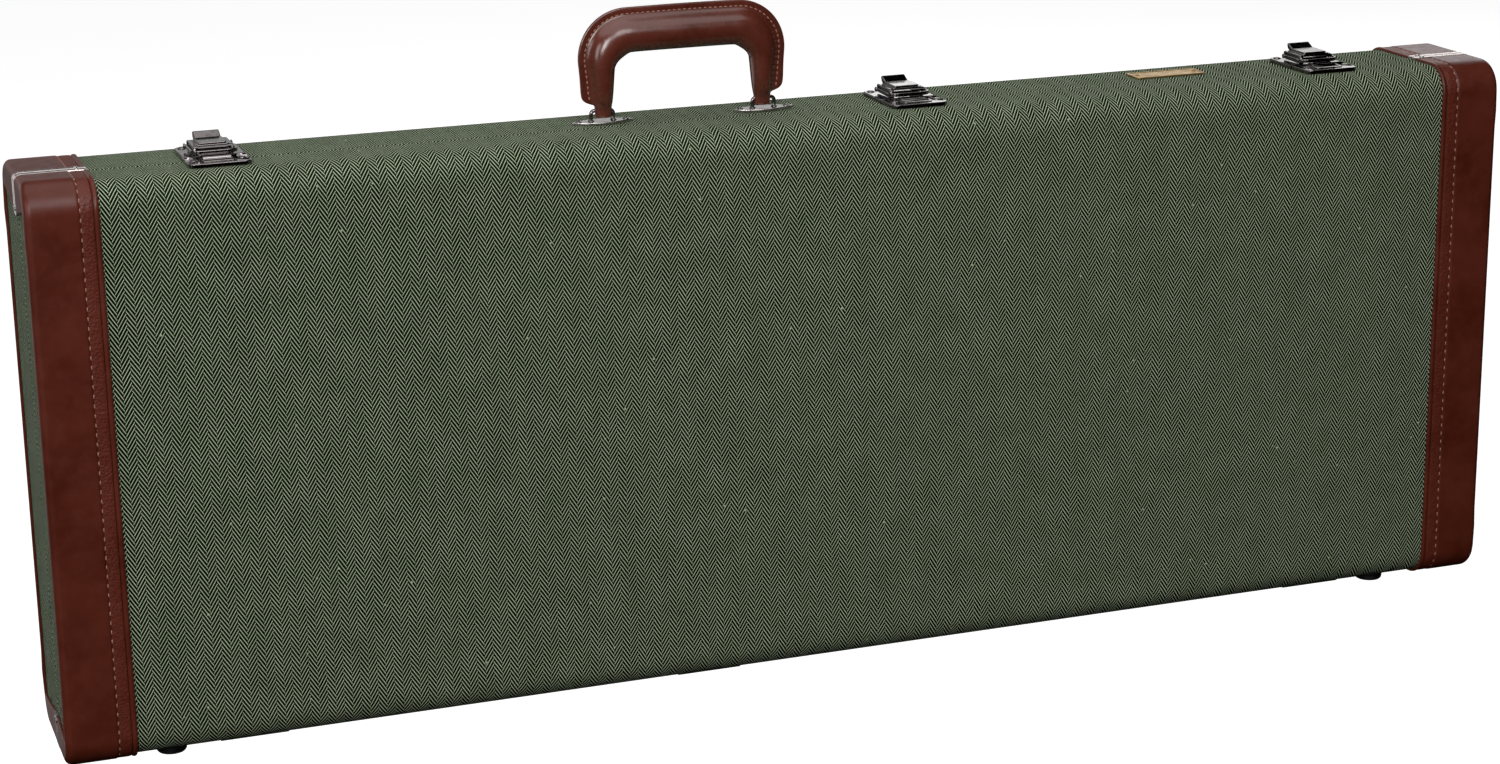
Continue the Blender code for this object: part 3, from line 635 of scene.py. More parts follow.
def tray_ring(y, half_x, low_z, high_z, radius, corner_steps, cuts):
    """A rounded rectangle at one depth, its sides and its ends cut into so many lengths."""
    far, low, high = half_x - radius, low_z + radius, high_z - radius
    corners = ((far, high, 90, 0), (far, low, 0, -90), (-far, low, -90, -180), (-far, high, 180, 90))
    points = []
    for index, (x, z, start, end) in enumerate(corners):
        points += arc((x, z), radius, start, end, corner_steps)
        next_x, next_z, next_angle, _ = corners[(index + 1) % 4]
        there = arc((next_x, next_z), radius, next_angle, next_angle, 1)[0]
        here, count = points[-1], cuts[index % 2]
        for k in range(1, count):
            points.append(tuple(a + (b - a) * (k / count) for a, b in zip(here, there)))
    return [(x, y, z) for x, z in points]


def tray(name, side, path, corner, corner_steps=4, cuts=(1, 1), ripple=0.0):
    """A five-sided tray from a path of (depth, inset at top and bottom, inset at the ends).

    Depth is measured in from the half's outer face. Its UV map runs along X and, without
    a break, over the rounded long edges.
    """
    rings, runs = [], []
    run = 0.0
    previous = None
    for depth, inset_z, inset_x in path:
        if previous:
            run += math.hypot(depth - previous[0], inset_z - previous[1])
        previous = (depth, inset_z)
        y = OUTER_Y[side] - side * depth
        radius = max(corner - (inset_x if inset_x < corner * 0.8 else corner * 0.8), 0.4 * MM)
        rings.append(tray_ring(y, END_X - inset_x, BOTTOM_Z + inset_z, TOP_Z - inset_z,
                               radius, corner_steps, cuts))
        runs.append(run)
    if ripple:
        for ring in rings:
            for i, (x, y, z) in enumerate(ring):
                swell = noise.noise(Vector((x * 22, y * 22 + 5, z * 22)))
                ring[i] = (x, y + side * swell * ripple, z)
    count = len(rings[0])
    verts = [point for ring in rings for point in ring]
    start_v = TOP_Z - path[0][1] - MIDDLE_Z

    def place(row, index, wall):
        x, y, z = rings[row][index % count]
        if wall:
            return (abs(OUTER_Y[side] - y), z)
        edge = TOP_Z - path[row][1]
        lag = edge - MIDDLE_Z - abs(z - MIDDLE_Z)
        reach = start_v + runs[row] - lag
        return (x, MIDDLE_Z + math.copysign(reach, z - MIDDLE_Z))

    faces, uvs = grid_faces(len(rings), count), []
    for row in range(len(rings) - 1):
        for i in range(count):
            j = (i + 1) % count
            ends = [abs(rings[r][k][0]) for r in (row, row + 1) for k in (i, j)]
            tall = abs(rings[row][i][2] - rings[row][j][2])
            flat = abs(rings[row][i][0] - rings[row][j][0])
            wall = tall > flat and min(ends) > END_X * 0.97
            uvs.append((place(row, i, wall), place(row, j, wall), place(row + 1, j, wall),
                        place(row + 1, i, wall)))
    for row in (0, len(rings) - 1):
        faces.append(tuple(range(row * count, (row + 1) * count)))
        uvs.append(tuple((rings[row][i][0], rings[row][i][2]) for i in range(count)))
    return weighted(new_piece(name, verts, faces, uvs, 50.0))


def covering_path(depth_to_rim):
    """Tweed over the outside, round the rim and a little way down inside it."""
    path = []
    steps = 14
    for k in range(steps + 1):
        angle = math.radians(90 * k / steps)
        depth = EDGE_RADIUS * (1 - math.cos(angle))
        inset_z = EDGE_RADIUS * (1 - math.sin(angle))
        left = max(END_RADIUS - depth, 0.0)
        inset_x = END_RADIUS - math.sqrt(END_RADIUS ** 2 - left ** 2)
        path.append((depth, inset_z, inset_x))
    curl = 1.3 * MM
    for k in range(6):
        angle = math.radians(90 * k / 5)
        inset = curl * (1 - math.cos(angle))
        path.append((depth_to_rim - curl + curl * math.sin(angle), inset, inset))
    turn_in = ((0, 5.7), (0.08, 6.1), (0.5, 6.22), (5, 6.22), (5, 6.12), (0.15, 6.12), (0.15, 0.9))
    path += [(depth_to_rim - back * MM, inset * MM, inset * MM) for back, inset in turn_in]
    path.append(mm(20, 0.9, 0.9))
    inner = EDGE_RADIUS - 0.9 * MM
    for k in range(6, -1, -1):
        angle = math.radians(90 * k / 6)
        path.append((0.9 * MM + inner * (1 - math.cos(angle)),
                     0.9 * MM + inner * (1 - math.sin(angle)), 0.9 * MM))
    return path


def make_coverings():
    for side in (LID, BASE):
        half = HALF[side]
        depth_to_rim = abs(SEAM_Y - OUTER_Y[side]) - 0.08 * MM
        piece = tray(half + "_tweed", side, covering_path(depth_to_rim), END_RADIUS)
        dress(piece, TWEED, half, [half + "_covering"])


# The plush's thickness over its backing, and the radius of its inner corners
LINING, LINING_FILLET = mm(3, 9)


def lining_path(inset, floor, rim, thickness, crown):
    """Plush lining: a softly crowned floor, round inner corners and a rolled rim."""
    inner = inset + thickness
    fillet = LINING_FILLET
    path = []
    widest = (TOP_Z - BOTTOM_Z) / 2
    for k in range(12, 0, -1):
        away = (widest - inner - fillet) * (k / 12) * 0.97
        swell = math.sin(math.pi / 2 * min(1.0, away / 0.05)) * crown
        path.append((floor + swell, inner + fillet + away, inner + fillet + away))
    for k in range(7):
        angle = math.radians(90 * k / 6)
        path.append((floor + fillet * (1 - math.cos(angle)),
                     inner + fillet * (1 - math.sin(angle)), inner + fillet * (1 - math.sin(angle))))
    for k in range(1, 6):
        path.append((floor + fillet + (rim - floor - fillet - 2 * MM) * k / 5, inner, inner))
    roll = thickness / 2
    for k in range(1, 7):
        angle = math.radians(180 * k / 6)
        middle = inset + roll
        path.append((rim - roll + roll * math.sin(angle), middle + roll * math.cos(angle),
                     middle + roll * math.cos(angle)))
    path.append((inset + 2 * MM, inset, inset))
    path.append((inset, inset + 2 * MM, inset + 2 * MM))
    return path


def make_linings():
    for side, inset, crown in ((LID, *mm(6.4, 0.8)), (BASE, *mm(8.7, 0))):
        half = HALF[side]
        low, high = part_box(half + "_lining")
        rim = high.y - OUTER_Y[side] if side == LID else OUTER_Y[side] - low.y
        path = lining_path(inset, inset + LINING, rim, LINING, crown)
        piece = tray(half + "_plush", side, path, LINING_FILLET, 6, (44, 16), 0.35 * MM)
        dress(piece, PLUSH, half, [half + "_lining"])


make_coverings()
make_linings()


# ---------------------------------------------------------------- leather ends

# Across one leather end, from its border in: place and height above the tweed, in mm.
# A folded bead, a groove, the grained band, the stitched groove and the smooth band.
LEATHER_RELIEF = ((0.0, 0.3), (0.0, 1.2), (0.25, 1.65), (0.8, 1.98), (1.6, 2.08), (2.4, 1.95),
                  (2.95, 1.5), (3.3, 1.05), (3.6, 1.2), (4.0, 1.5), (5.5, 1.66), (8.5, 1.70),
                  (10.8, 1.60), (11.35, 1.45), (11.7, 1.15), (12.1, 1.45), (12.6, 1.85),
                  (13.6, 2.0), (20.0, 2.02), (28.0, 2.0), (38.0, 2.0))
STITCH_FROM_BORDER = 11.7 * MM
# The soft fold beside the flap: its height, its middle below the rim's face and its reach
SWELL_MM = 0.9
SWELL_DOWN, SWELL_REACH = mm(27, 6)
# The flap on the end face: its turned edge, its length there and how much longer it grows
FLAP_TURN, FLAP_SHORT, FLAP_GROWTH = mm(4, 16, 7)


def wall_path(side, edge_y):
    """Round one half from its bottom rim to its top rim: (y, z, normal y, normal z, part)."""
    outer = OUTER_Y[side]
    inward = -side
    stations = []
    flat_y = outer + inward * EDGE_RADIUS
    for level in (-1, 1):
        face_z = TOP_Z if level > 0 else BOTTOM_Z
        center_z = face_z - level * EDGE_RADIUS
        run = [(edge_y + (flat_y - edge_y) * k / 8, face_z, 0.0, level, 0.0) for k in range(8)]
        for k in range(13):
            angle = math.radians(90 - 90 * k / 12)
            ny, nz = side * math.cos(angle), level * math.sin(angle)
            run.append((flat_y + EDGE_RADIUS * ny, center_z + EDGE_RADIUS * nz, ny, nz, k / 12))
        if level < 0:
            stations = run
            low_z = center_z
        else:
            steps = 24
            for k in range(1, steps):
                z = low_z + (center_z - low_z) * k / steps
                stations.append((outer, z, side, 0.0, 1.0))
            stations += run[::-1]
    return stations


def flap_point(side, y, z, part, edge_y):
    """Where the leather on the end face stops, for one station of the wall path."""
    outer = OUTER_Y[side]
    level = 1 if z > MIDDLE_Z else -1
    face_z = TOP_Z if level > 0 else BOTTOM_Z
    turn_y = outer - side * FLAP_TURN
    flat_y = outer - side * EDGE_RADIUS

    def line(at_y):
        share = abs(turn_y - at_y) / abs(turn_y - edge_y)
        bow = 1.2 * MM * math.sin(math.pi * share)
        return face_z - level * (FLAP_SHORT + FLAP_GROWTH * share - bow)

    if part == 0.0:
        return y, line(y)
    if abs(z - MIDDLE_Z) <= TOP_Z - MIDDLE_Z - EDGE_RADIUS + 1e-6:
        return turn_y, z
    share = min(1.0, part / 0.75)
    at_y = flat_y + (turn_y - flat_y) * share
    if part <= 0.75:
        return at_y, line(at_y)
    edge_z = face_z - level * FLAP_SHORT
    return turn_y, edge_z - level * 2 * MM * (part - 0.75) / 0.25


def make_leather(side, end):
    """One leather end: relief across its width, swept round three sides of a half."""
    half, place = HALF[side], "left" if end < 0 else "right"
    edge_y = STRIP_FAR[side] + side * 0.3 * MM
    rings, stitch_points, stitch_normals = [], [], []
    for y, z, ny, nz, part in wall_path(side, edge_y):
        flap_y, flap_z = flap_point(side, y, z, part, edge_y)
        ring = []

        def add(x, off):
            ring.append((end * x, y + ny * off, z + nz * off))

        wave = 0.06 * noise.noise(Vector((end * 3.0, y * 60, z * 60)))
        below = min(TOP_Z - z, z - BOTTOM_Z)
        roll = SWELL_MM * math.exp(-((below - SWELL_DOWN) / SWELL_REACH) ** 2) if part == 1.0 else 0.0
        for across, height in LEATHER_RELIEF:
            swell = roll * min(1.0, max(0.0, across - 30.0) / 8.0)
            add(BORDER_X + across * MM, (height + swell + wave * min(1.0, across / 13)) * MM)
        for u, v in arc((END_X - 3.0 * MM, -3.0 * MM), (5.0 + roll) * MM, 84, 0, 8):
            add(u, v)
        out_x = END_X + 2.0 * MM
        near = Vector((y + ny * -3.0 * MM, z + nz * -3.0 * MM))
        flap = Vector((flap_y, flap_z))
        back = (near - flap).normalized()
        spot = near.lerp(flap, 0.5)
        ring.append((end * out_x, spot.x, spot.y))
        for away, x in ((1.0, 0.0), (0.5, -0.15), (0.15, -0.45), (0.0, -0.9), (0.0, -1.65)):
            spot = flap + back * (away * MM)
            ring.append((end * (out_x + x * MM), spot.x, spot.y))
        add(END_X + 0.35 * MM, -3.0 * MM)
        add(END_X - 0.6 * MM, -0.2 * MM)
        add(END_X - 3.0 * MM, 0.3 * MM)
        rings.append(ring)
        groove = 1.20 * MM
        stitch_points.append((end * (BORDER_X + STITCH_FROM_BORDER), y + ny * groove,
                              z + nz * groove))
        stitch_normals.append((0.0, ny, nz))
    lengths = [across * MM for across, _ in LEATHER_RELIEF]
    while len(lengths) < len(rings[0]):
        lengths.append(lengths[-1] + 1.5 * MM)
    piece = weighted(loft(f"{half}_leather_end_{place}", rings, lengths, 55.0))
    dress(piece, LEATHER, half, [f"{half}_leather_{place}"])
    row = stitch_row(f"{half}_stitches_{place}", stitch_points, stitch_normals, *mm(6.2, 2.9, 0.48, 0.35))
    dress(row, STITCH, half)


for half_side in (LID, BASE):
    for case_end in (LEFT, RIGHT):
        make_leather(half_side, case_end)


# ---------------------------------------------------------------- strips and rivets

def rivet(name, x, y, z, radius, height, normal="Z", flip=1):
    """A domed rivet head with a thin skirt and a small flat in the middle."""
    profile = [(0.0, height * 0.93), (radius * 0.22, height * 0.93), (radius * 0.30, height),
               (radius * 0.62, height * 0.90), (radius * 0.86, height * 0.62),
               (radius * 0.97, height * 0.30), (radius, height * 0.08), (radius, -0.0004),
               (0.0, -0.0004)]
    head = lathe(name, [(r, h * flip) for r, h in profile], (0, 0, 0), 28, normal)
    head.data.transform(Matrix.Translation((x, y, z)))
    return head


STRIP_SECTION = ((0.0, 0.3), (0.0, 1.35), (0.12, 1.75), (0.45, 2.02), (0.95, 2.1), (1.5, 2.02),
                 (1.8, 1.86), (3.4, 1.86), (3.7, 2.02), (4.25, 2.1), (4.75, 2.02), (5.08, 1.75),
                 (5.2, 1.35), (5.2, 0.3))


def make_strip(side, end, level):
    """A rolled metal strip on the rim, bent down over the corner, with two rivets."""
    half, place = HALF[side], "left" if end < 0 else "right"
    height = "top" if level > 0 else "bottom"
    node = f"{half}_strip_{height}_{place}"
    low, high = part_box(node)
    near_y = high.y if side == LID else low.y
    face_z = TOP_Z if level > 0 else BOTTOM_Z
    leg_z = low.z if level > 0 else high.z
    corner = 3 * MM
    inner_x = END_X + 0.3 * MM
    flat_x = min(abs(low.x), abs(high.x))
    path = [(flat_x + (inner_x - corner - flat_x) * k / 4, 0.0, 90) for k in range(4)]
    path += [(None, None, 90 - 90 * k / 8) for k in range(9)]
    leg = abs(face_z - leg_z)
    path += [(inner_x, corner + (leg - corner) * k / 3, 0) for k in range(1, 4)]
    rings = []
    for x, drop, angle_deg in path:
        ring = []
        angle = math.radians(angle_deg)
        nx, nz = math.cos(angle), math.sin(angle)
        for across, tall in STRIP_SECTION:
            off = (tall - 0.3) * MM
            if x is None:
                px = inner_x - corner + (corner + off) * nx
                pz = -corner + 0.3 * MM + (corner + off) * nz
            elif angle_deg == 90:
                px, pz = x, 0.3 * MM + off
            else:
                px, pz = x + off, 0.3 * MM - drop
            ring.append((end * px, near_y + side * across * MM, face_z + level * pz))
        rings.append(ring)
    strip = weighted(loft(node + "_rolled", rings, smooth_deg=45.0))
    dress(strip, TRIM, half, [node])
    mid_y = near_y + side * 2.6 * MM
    heads = [rivet("head", end * (flat_x + 6.5 * MM), mid_y, face_z + level * 1.86 * MM, 1.75 * MM,
                   0.9 * MM, "Z", level),
             rivet("head", end * (END_X + 1.86 * MM), mid_y, leg_z + level * 4.5 * MM, 1.75 * MM,
                   0.9 * MM, "X", end)]
    dress(merged(node + "_rivets", heads), NICKEL, half)


for half_side in (LID, BASE):
    for case_end in (LEFT, RIGHT):
        for strip_level in (-1, 1):
            make_strip(half_side, case_end, strip_level)


# ---------------------------------------------------------------- latches

def moved(piece, x, y, z):
    piece.data.transform(Matrix.Translation((x, y, z)))
    return piece


def rounded_outline(half_x, near, far, near_radius, far_radius):
    """An upright rectangle in (x, y), its corners rounded at the near and far edges."""
    points = []
    for sign_x, y, radius, start in ((1, near, near_radius, -90), (1, far, far_radius, 0),
                                     (-1, far, far_radius, 90), (-1, near, near_radius, 180)):
        inward = 1 if y == near else -1
        if radius:
            points += arc((sign_x * (half_x - radius), y + inward * radius), radius, start,
                          start + 90, 6)
        else:
            points.append((sign_x * half_x, y))
    return points


def latch_catch(x):
    """Stamped plate on the lid, with a platform and the bar that the bail closes over."""
    plate = prism("plate", rounded_outline(*mm(20, -24, -0.4, 4.5, 0.6)), "Z",
                  *mm(0.3, 3.0, 0.85), 4, (False, True))
    raised = prism("raised", rounded_outline(*mm(10.2, -19.5, -1.6, 1.5, 0.8)), "Z",
                   *mm(2.6, 3.55, 0.35), 3, (False, True))
    hook = [mm(-11.2, 2.8), mm(-11.2, 3.3)]
    hook += arc(mm(-9.7, 3.4), 1.25 * MM, 170, 60, 5)
    hook += arc(mm(-4.2, 3.35), 1.1 * MM, 90, 0, 5)
    hook += [mm(-3.1, 2.8)]
    bar = prism("bar", hook, "X", *mm(-9.0, 9.0, 0.5), 3)
    body = weighted(joined(plate, [raised, bar]))
    moved(body, x, SEAM_Y, TOP_Z)
    heads = [rivet("head", x + side * 15.3 * MM, SEAM_Y - 13.5 * MM, TOP_Z + 2.95 * MM, 2.7 * MM,
                   1.0 * MM) for side in (-1, 1)]
    return body, heads


def latch_plate(x):
    """Stamped plate on the base, with two round lobes behind the lever."""
    near, far, side_x, lobe = 0.4 * MM, 27.0 * MM, 20.0 * MM, 4.8 * MM
    outline = [(-side_x, near), (side_x, near)]
    outline += arc((side_x - lobe, far + 3 * MM), lobe, 0, 180, 14)
    outline += [(side_x - 2 * lobe - 1 * MM, far), (-side_x + 2 * lobe + 1 * MM, far)]
    outline += arc((-side_x + lobe, far + 3 * MM), lobe, 0, 180, 14)
    plate = prism("plate", outline, "Z", *mm(0.3, 3.0, 0.8), 4, (False, True))
    trough = prism("trough", rounded_outline(*mm(11.2, 7.0, 24.5, 2, 2)), "Z",
                   *mm(2.3, 4.0, 0.3), 2, (True, False))
    body = weighted(joined(plate, [trough], "DIFFERENCE"))
    moved(body, x, SEAM_Y, TOP_Z)
    heads = [rivet("head", x + side * (side_x - lobe), SEAM_Y + far + 2.4 * MM,
                   TOP_Z + 2.95 * MM, 2.7 * MM, 1.0 * MM) for side in (-1, 1)]
    return body, heads


def latch_lever(x):
    """Pressed lever: rolled nose, raised panel with a step round it, and a thumb tab."""
    pivot_y, pivot_z, nose = 2.5 * MM, 6.2 * MM, 3.1 * MM
    top = pivot_z + nose
    outline = arc((pivot_y, pivot_z), nose, 270, 90, 20)
    outline += [(22.6 * MM, top)] + arc((23.4 * MM, top - 1.1 * MM), 1.1 * MM, 90, 0, 4)
    outline += [mm(23.6, 3.8)]
    body = prism("body", outline, "X", *mm(-13, 13, 0.9), 4)
    step = prism("step", rounded_outline(*mm(10.6, 1.0, 20.8, 1.6, 1.6)), "Z",
                 top - 0.3 * MM, top + 0.55 * MM, 0.4 * MM, 3, (False, True))
    panel = prism("panel", rounded_outline(*mm(8.9, 2.0, 19.4, 1.3, 1.3)), "Z",
                  top, top + 1.75 * MM, 0.6 * MM, 4, (False, True))
    tab = [(14.0 * MM, top - 0.3 * MM), (23.6 * MM, top - 0.9 * MM), mm(26.4, 10.2)]
    tab += arc(mm(26.4, 12.9), 1.1 * MM, -30, 120, 7)
    tab += [mm(19.6, 10.9), mm(15.6, 10.9), mm(14.0, 10.6)]
    thumb = prism("thumb", tab, "X", *mm(-8.6, 8.6, 1.0), 4)
    channel = prism("channel", [mm(-10, -10), mm(40, -10), (40 * MM, top - 1.0 * MM),
                                (-10 * MM, top - 1.0 * MM)], "X", -11.5 * MM, 11.5 * MM)
    joined(body, [channel], "DIFFERENCE")
    body = weighted(joined(body, [step, panel, thumb]))
    return moved(body, x, SEAM_Y, TOP_Z)


def latch_bail(x):
    """Flat bar bent to a U round the lever, with the heads of the rivets it turns on."""
    pivot_y, middle_z, half, front = 20.5 * MM, 6.2 * MM, 14.25 * MM, -5.2 * MM
    corner = 5.6 * MM
    left = [(-half, pivot_y + 1.2 * MM, 0), (-half, 16 * MM, 0), (-half, 8 * MM, 0),
            (-half, front + corner, 0)]
    bend = [(-half + corner + corner * math.cos(math.radians(a)),
             front + corner + corner * math.sin(math.radians(a)), a - 180)
            for a in range(190, 271, 10)]
    left += bend + [(-4 * MM, front, 90)]
    path = left + [(0.0, front, 90)] + [(-px, py, 180 - turn) for px, py, turn in left[::-1]]
    rings = []
    for px, py, turn in path:
        tangent = math.radians(turn)
        nx, ny = -math.cos(tangent), -math.sin(tangent)
        share = min(1.0, max(0.0, (12 * MM - py) / (17 * MM)))
        half_high, half_wide = (1.0 + 0.25 * share) * MM, 0.85 * MM
        rings.append([(x + px + nx * u, SEAM_Y + py + ny * u, TOP_Z + middle_z + v)
                      for u, v in rounded_bar(half_wide, half_high, 0.45 * MM)])
    body = weighted(loft("bail", rings))
    heads = [rivet("head", x + side * 15.05 * MM, SEAM_Y + pivot_y, TOP_Z + middle_z, 1.7 * MM,
                   0.7 * MM, "X", side) for side in (-1, 1)]
    return merged("bail", [body] + heads)


def make_latches():
    for number in (1, 2, 3):
        name = f"latch_{number}"
        x = JOINTS[name + "_lever_hinge"].x
        for part, body, side in ((latch_catch, "lid", "catch"), (latch_plate, "base", "plate")):
            plate, heads = part(x)
            plate.name = f"{name}_{side}_pressed"
            dress(plate, BLACK_NICKEL, body, [f"{name}_{side}"])
            dress(merged(f"{name}_{side}_rivets", heads), BLACK_NICKEL, body)
        lever = latch_lever(x)
        lever.name = f"{name}_lever_pressed"
        dress(lever, BLACK_NICKEL, f"{name}_lever", [f"{name}_lever"])
        bail = latch_bail(x)
        bail.name = f"{name}_bail_bent"
        dress(bail, BLACK_NICKEL, f"{name}_bail", [f"{name}_bail"])


make_latches()


# ---------------------------------------------------------------- handle

def section_frame(path):
    """For a path in the (x, z) plane: each point, its outward normal and its other values."""
    frames = []
    for i, (x, z, *rest) in enumerate(path):
        before = Vector(path[max(i - 1, 0)][:2])
        after = Vector(path[min(i + 1, len(path) - 1)][:2])
        tangent = (after - before).normalized()
        frames.append(((x, z), (-tangent.y, tangent.x), rest))
    return frames


def handle_path():
    """Centre line of the padded grip, with its half widths in and across its plane."""
    half = 55.4 * MM
    leg = ((3.9, 4.6, 2.9, 0.0), (4.5, 5.2, 3.4, 0.0), (6.5, 5.5, 3.6, 0.0), (9.0, 5.5, 3.9, 0.0),
           (11.0, 5.6, 4.6, 0.0), (12.6, 5.9, 5.6, 0.1), (13.6, 6.1, 6.2, 3.0), (14.8, 6.3, 6.9, 6.0),
           (16.8, 6.5, 7.6, 8.0), (20.0, 6.9, 8.5, 8.3), (26.0, 7.5, 9.4, 7.8), (33.0, 8.2, 10.0, 7.2),
           (37.0, 8.7, 10.3, 7.0))
    left = [(-half - max(0.0, height - 12) * 0.02 * MM, height * MM, a * MM, b * MM, f * MM)
            for height, a, b, f in leg]
    radius, top = 20 * MM, 57.6 * MM
    corner_x = left[-1][0] + radius
    for k in range(15):
        angle = math.radians(180 - 90 * k / 14)
        t = k / 14
        left.append((corner_x + radius * math.cos(angle), top - radius + radius * math.sin(angle),
                     (8.8 + 2.6 * t + 1.9 * math.sin(math.pi * t)) * MM, (10.4 + 1.4 * t) * MM,
                     7.0 * MM))
    left += [(-20 * MM, top + 0.2 * MM, *mm(11.5, 12.0, 6.9))]
    middle = [(0.0, top + 0.3 * MM, *mm(11.6, 12.2, 6.8))]
    return left + middle + [(-x, z, a, b, f) for x, z, a, b, f in left[::-1]]


def grip_section(a, b, flange):
    """Half the section, from the flange's tip round to the inside: (outward, across)."""
    thick = min(1.45 * MM, b * 0.35)
    start = 27.0
    points = [(a + flange - 0.35 * min(MM, flange), 0.0),
              (a + flange, thick * 0.38), (a + flange * 0.97, thick * 0.85),
              (a + flange * 0.80, thick), (a + flange * 0.52, thick),
              (a + flange * 0.40, thick * 0.84), (a + flange * 0.28, thick * 1.02),
              (a + flange * 0.08, thick * 1.6)]
    for k in range(15):
        angle = math.radians(start + (180 - start) * k / 14)
        points.append((a * math.cos(angle), b * math.sin(angle)))
    return points


def make_grip():
    """The padded grip and its stitched flange, with the two rows of stitches."""
    pivot = JOINTS["handle_swing"]
    base = (pivot.x, pivot.y, TOP_Z)
    rings, rows = [], {-1: ([], []), 1: ([], [])}
    path = handle_path()
    for (x, z), (nx, nz), (a, b, flange) in section_frame(path):
        half = grip_section(a, b, flange)
        whole = half + [(out, -across) for out, across in half[-2:0:-1]]
        rings.append([(base[0] + x + nx * out, base[1] + across, base[2] + z + nz * out)
                      for out, across in whole])
        if flange > 4.5 * MM:
            out = a + flange * 0.40
            for side, (points, normals) in rows.items():
                points.append((base[0] + x + nx * out, base[1] + side * 1.36 * MM,
                               base[2] + z + nz * out))
                normals.append((0.0, side, 0.0))
    grip = loft("handle_grip_padded", rings, smooth_deg=70.0)
    smoothed(grip)
    dress(grip, GRIP, "handle", ["handle_grip"])
    for side, (points, normals) in rows.items():
        row = stitch_row(f"handle_stitches_{'front' if side < 0 else 'back'}", points, normals,
                         *mm(3.6, 2.3, 0.46, 0.12))
        dress(row, GRIP_STITCH, "handle")


def wire(name, points, radius, sides=14):
    """A round wire along points in space."""
    rings = []
    for i, point in enumerate(points):
        before, after = Vector(points[max(i - 1, 0)]), Vector(points[min(i + 1, len(points) - 1)])
        tangent = (after - before).normalized()
        side = tangent.cross(Vector((0, 1, 0))).normalized()
        up = side.cross(tangent)
        rings.append([Vector(point) + (side * math.cos(2 * math.pi * k / sides)
                                       + up * math.sin(2 * math.pi * k / sides)) * radius
                      for k in range(sides)])
    return loft(name, rings)


def make_handle_plates():
    """Pointed plates with a wire staple that carries each end of the grip."""
    pivot = JOINTS["handle_swing"]
    rise = pivot.z - TOP_Z
    for side in ("left", "right"):
        low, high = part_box("handle_plate_" + side)
        x = (low.x + high.x) / 2
        half_length, half_width = (high.x - low.x) / 2, (high.y - low.y) / 2
        radius = (half_length ** 2 + half_width ** 2) / (2 * half_width)
        sweep = math.degrees(math.asin(half_length * 0.985 / radius))
        outline = arc((0.0, half_width - radius), radius, 90 - sweep, 90 + sweep, 24)
        outline += arc((0.0, radius - half_width), radius, 270 - sweep, 270 + sweep, 24)
        plate = prism("plate", outline, "Z", *mm(0.3, 2.2, 0.6), 4, (False, True))
        moved(weighted(plate), x, pivot.y, TOP_Z)
        heads = [rivet("head", x + end * 16.3 * MM, pivot.y, TOP_Z + 2.15 * MM, 2.2 * MM, 0.9 * MM)
                 for end in (-1, 1)]
        bend, reach = 2.6 * MM, 7.7 * MM
        half = [(-reach, 0.0), (-reach, 2 * MM), (-reach, rise - bend)]
        half += [(-reach + bend + bend * math.cos(math.radians(a)),
                  rise - bend + bend * math.sin(math.radians(a))) for a in range(170, 89, -10)]
        points = half + [(-px, pz) for px, pz in half[::-1]]
        staple = wire("staple", [(x + px, pivot.y, TOP_Z + pz) for px, pz in points], 1.3 * MM)
        collars = [lathe("collar", [(0.0, 0.9 * MM), mm(1.5, 0.9), mm(2.0, 0.5),
                                    mm(2.3, -0.1), (0.0, -0.1 * MM)],
                         (x + end * reach, pivot.y, TOP_Z + 2.15 * MM), 20) for end in (-1, 1)]
        plate.name = f"handle_plate_{side}_pressed"
        dress(plate, NICKEL, "base", ["handle_plate_" + side])
        dress(merged(f"handle_staple_{side}", [staple] + heads + collars), BLACK_NICKEL, "base")


make_grip()
make_handle_plates()


# ---------------------------------------------------------------- feet, hinges and badge

def make_feet():
    """Pressed metal feet with a flange, a domed wall and a nail in the middle."""
    for side in (LID, BASE):
        for place in ("left", "right"):
            node = f"{HALF[side]}_foot_{place}"
            low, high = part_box(node)
            x, y = (low.x + high.x) / 2, (low.y + high.y) / 2
            r = (high.x - low.x) / 2
            top = BOTTOM_Z - 0.3 * MM
            profile = [(0.0, top)]
            profile += [(r - inset * MM, top - drop * MM) for inset, drop in
                        ((0.3, 0), (0, 0.35), (0, 0.9), (0.35, 1.25), (1.0, 1.45), (1.35, 2.1))]
            profile += [(r - inset * MM, z * MM) for inset, z in
                        ((1.5, 2.6), (1.8, 1.3), (2.5, 0.45), (3.6, 0.06), (5.0, 0))]
            profile += [mm(3.4, 0), mm(2.9, 0.5), mm(2.5, 0.6), mm(2.3, 0.25), mm(1.2, 0.12),
                        mm(0, 0.1)]
            foot = lathe(node + "_turned", profile, (x, y, 0.0), 56)
            dress(foot, FOOT_METAL, HALF[side], [node])


def plated(node, material, width):
    """A CAD node of hard metal, shown with softened edges and its own finish."""
    piece = frame["nodes"][node]
    soften(welded(piece), width)
    piece.data.materials.clear()
    piece.data.materials.append(material)


def make_hinges():
    """The CAD leaves and pins in their finish, with rivet heads in two rows."""
    for number in (1, 2, 3):
        for leaf, body, side in (("lid_leaf", "lid", LID), ("base_leaf", "base", BASE)):
            node = f"hinge_{number}_{leaf}"
            low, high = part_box(node)
            x = (low.x + high.x) / 2
            plated(node, BLACK_NICKEL, 0.35 * MM)
            under = BOTTOM_Z - 2.3 * MM
            heads = [rivet("head", x + dx * MM, SEAM_Y + side * dy * MM, under, 2.3 * MM, 0.9 * MM,
                           "Z", -1) for dx, dy in ((-16, 10), (0, 18.5), (16, 10))]
            dress(merged(node + "_rivets", heads), BLACK_NICKEL, body)
        plated(f"hinge_{number}_pin", NICKEL, 0.2 * MM)
        plated(f"latch_{number}_pivot", BLACK_NICKEL, 0.2 * MM)


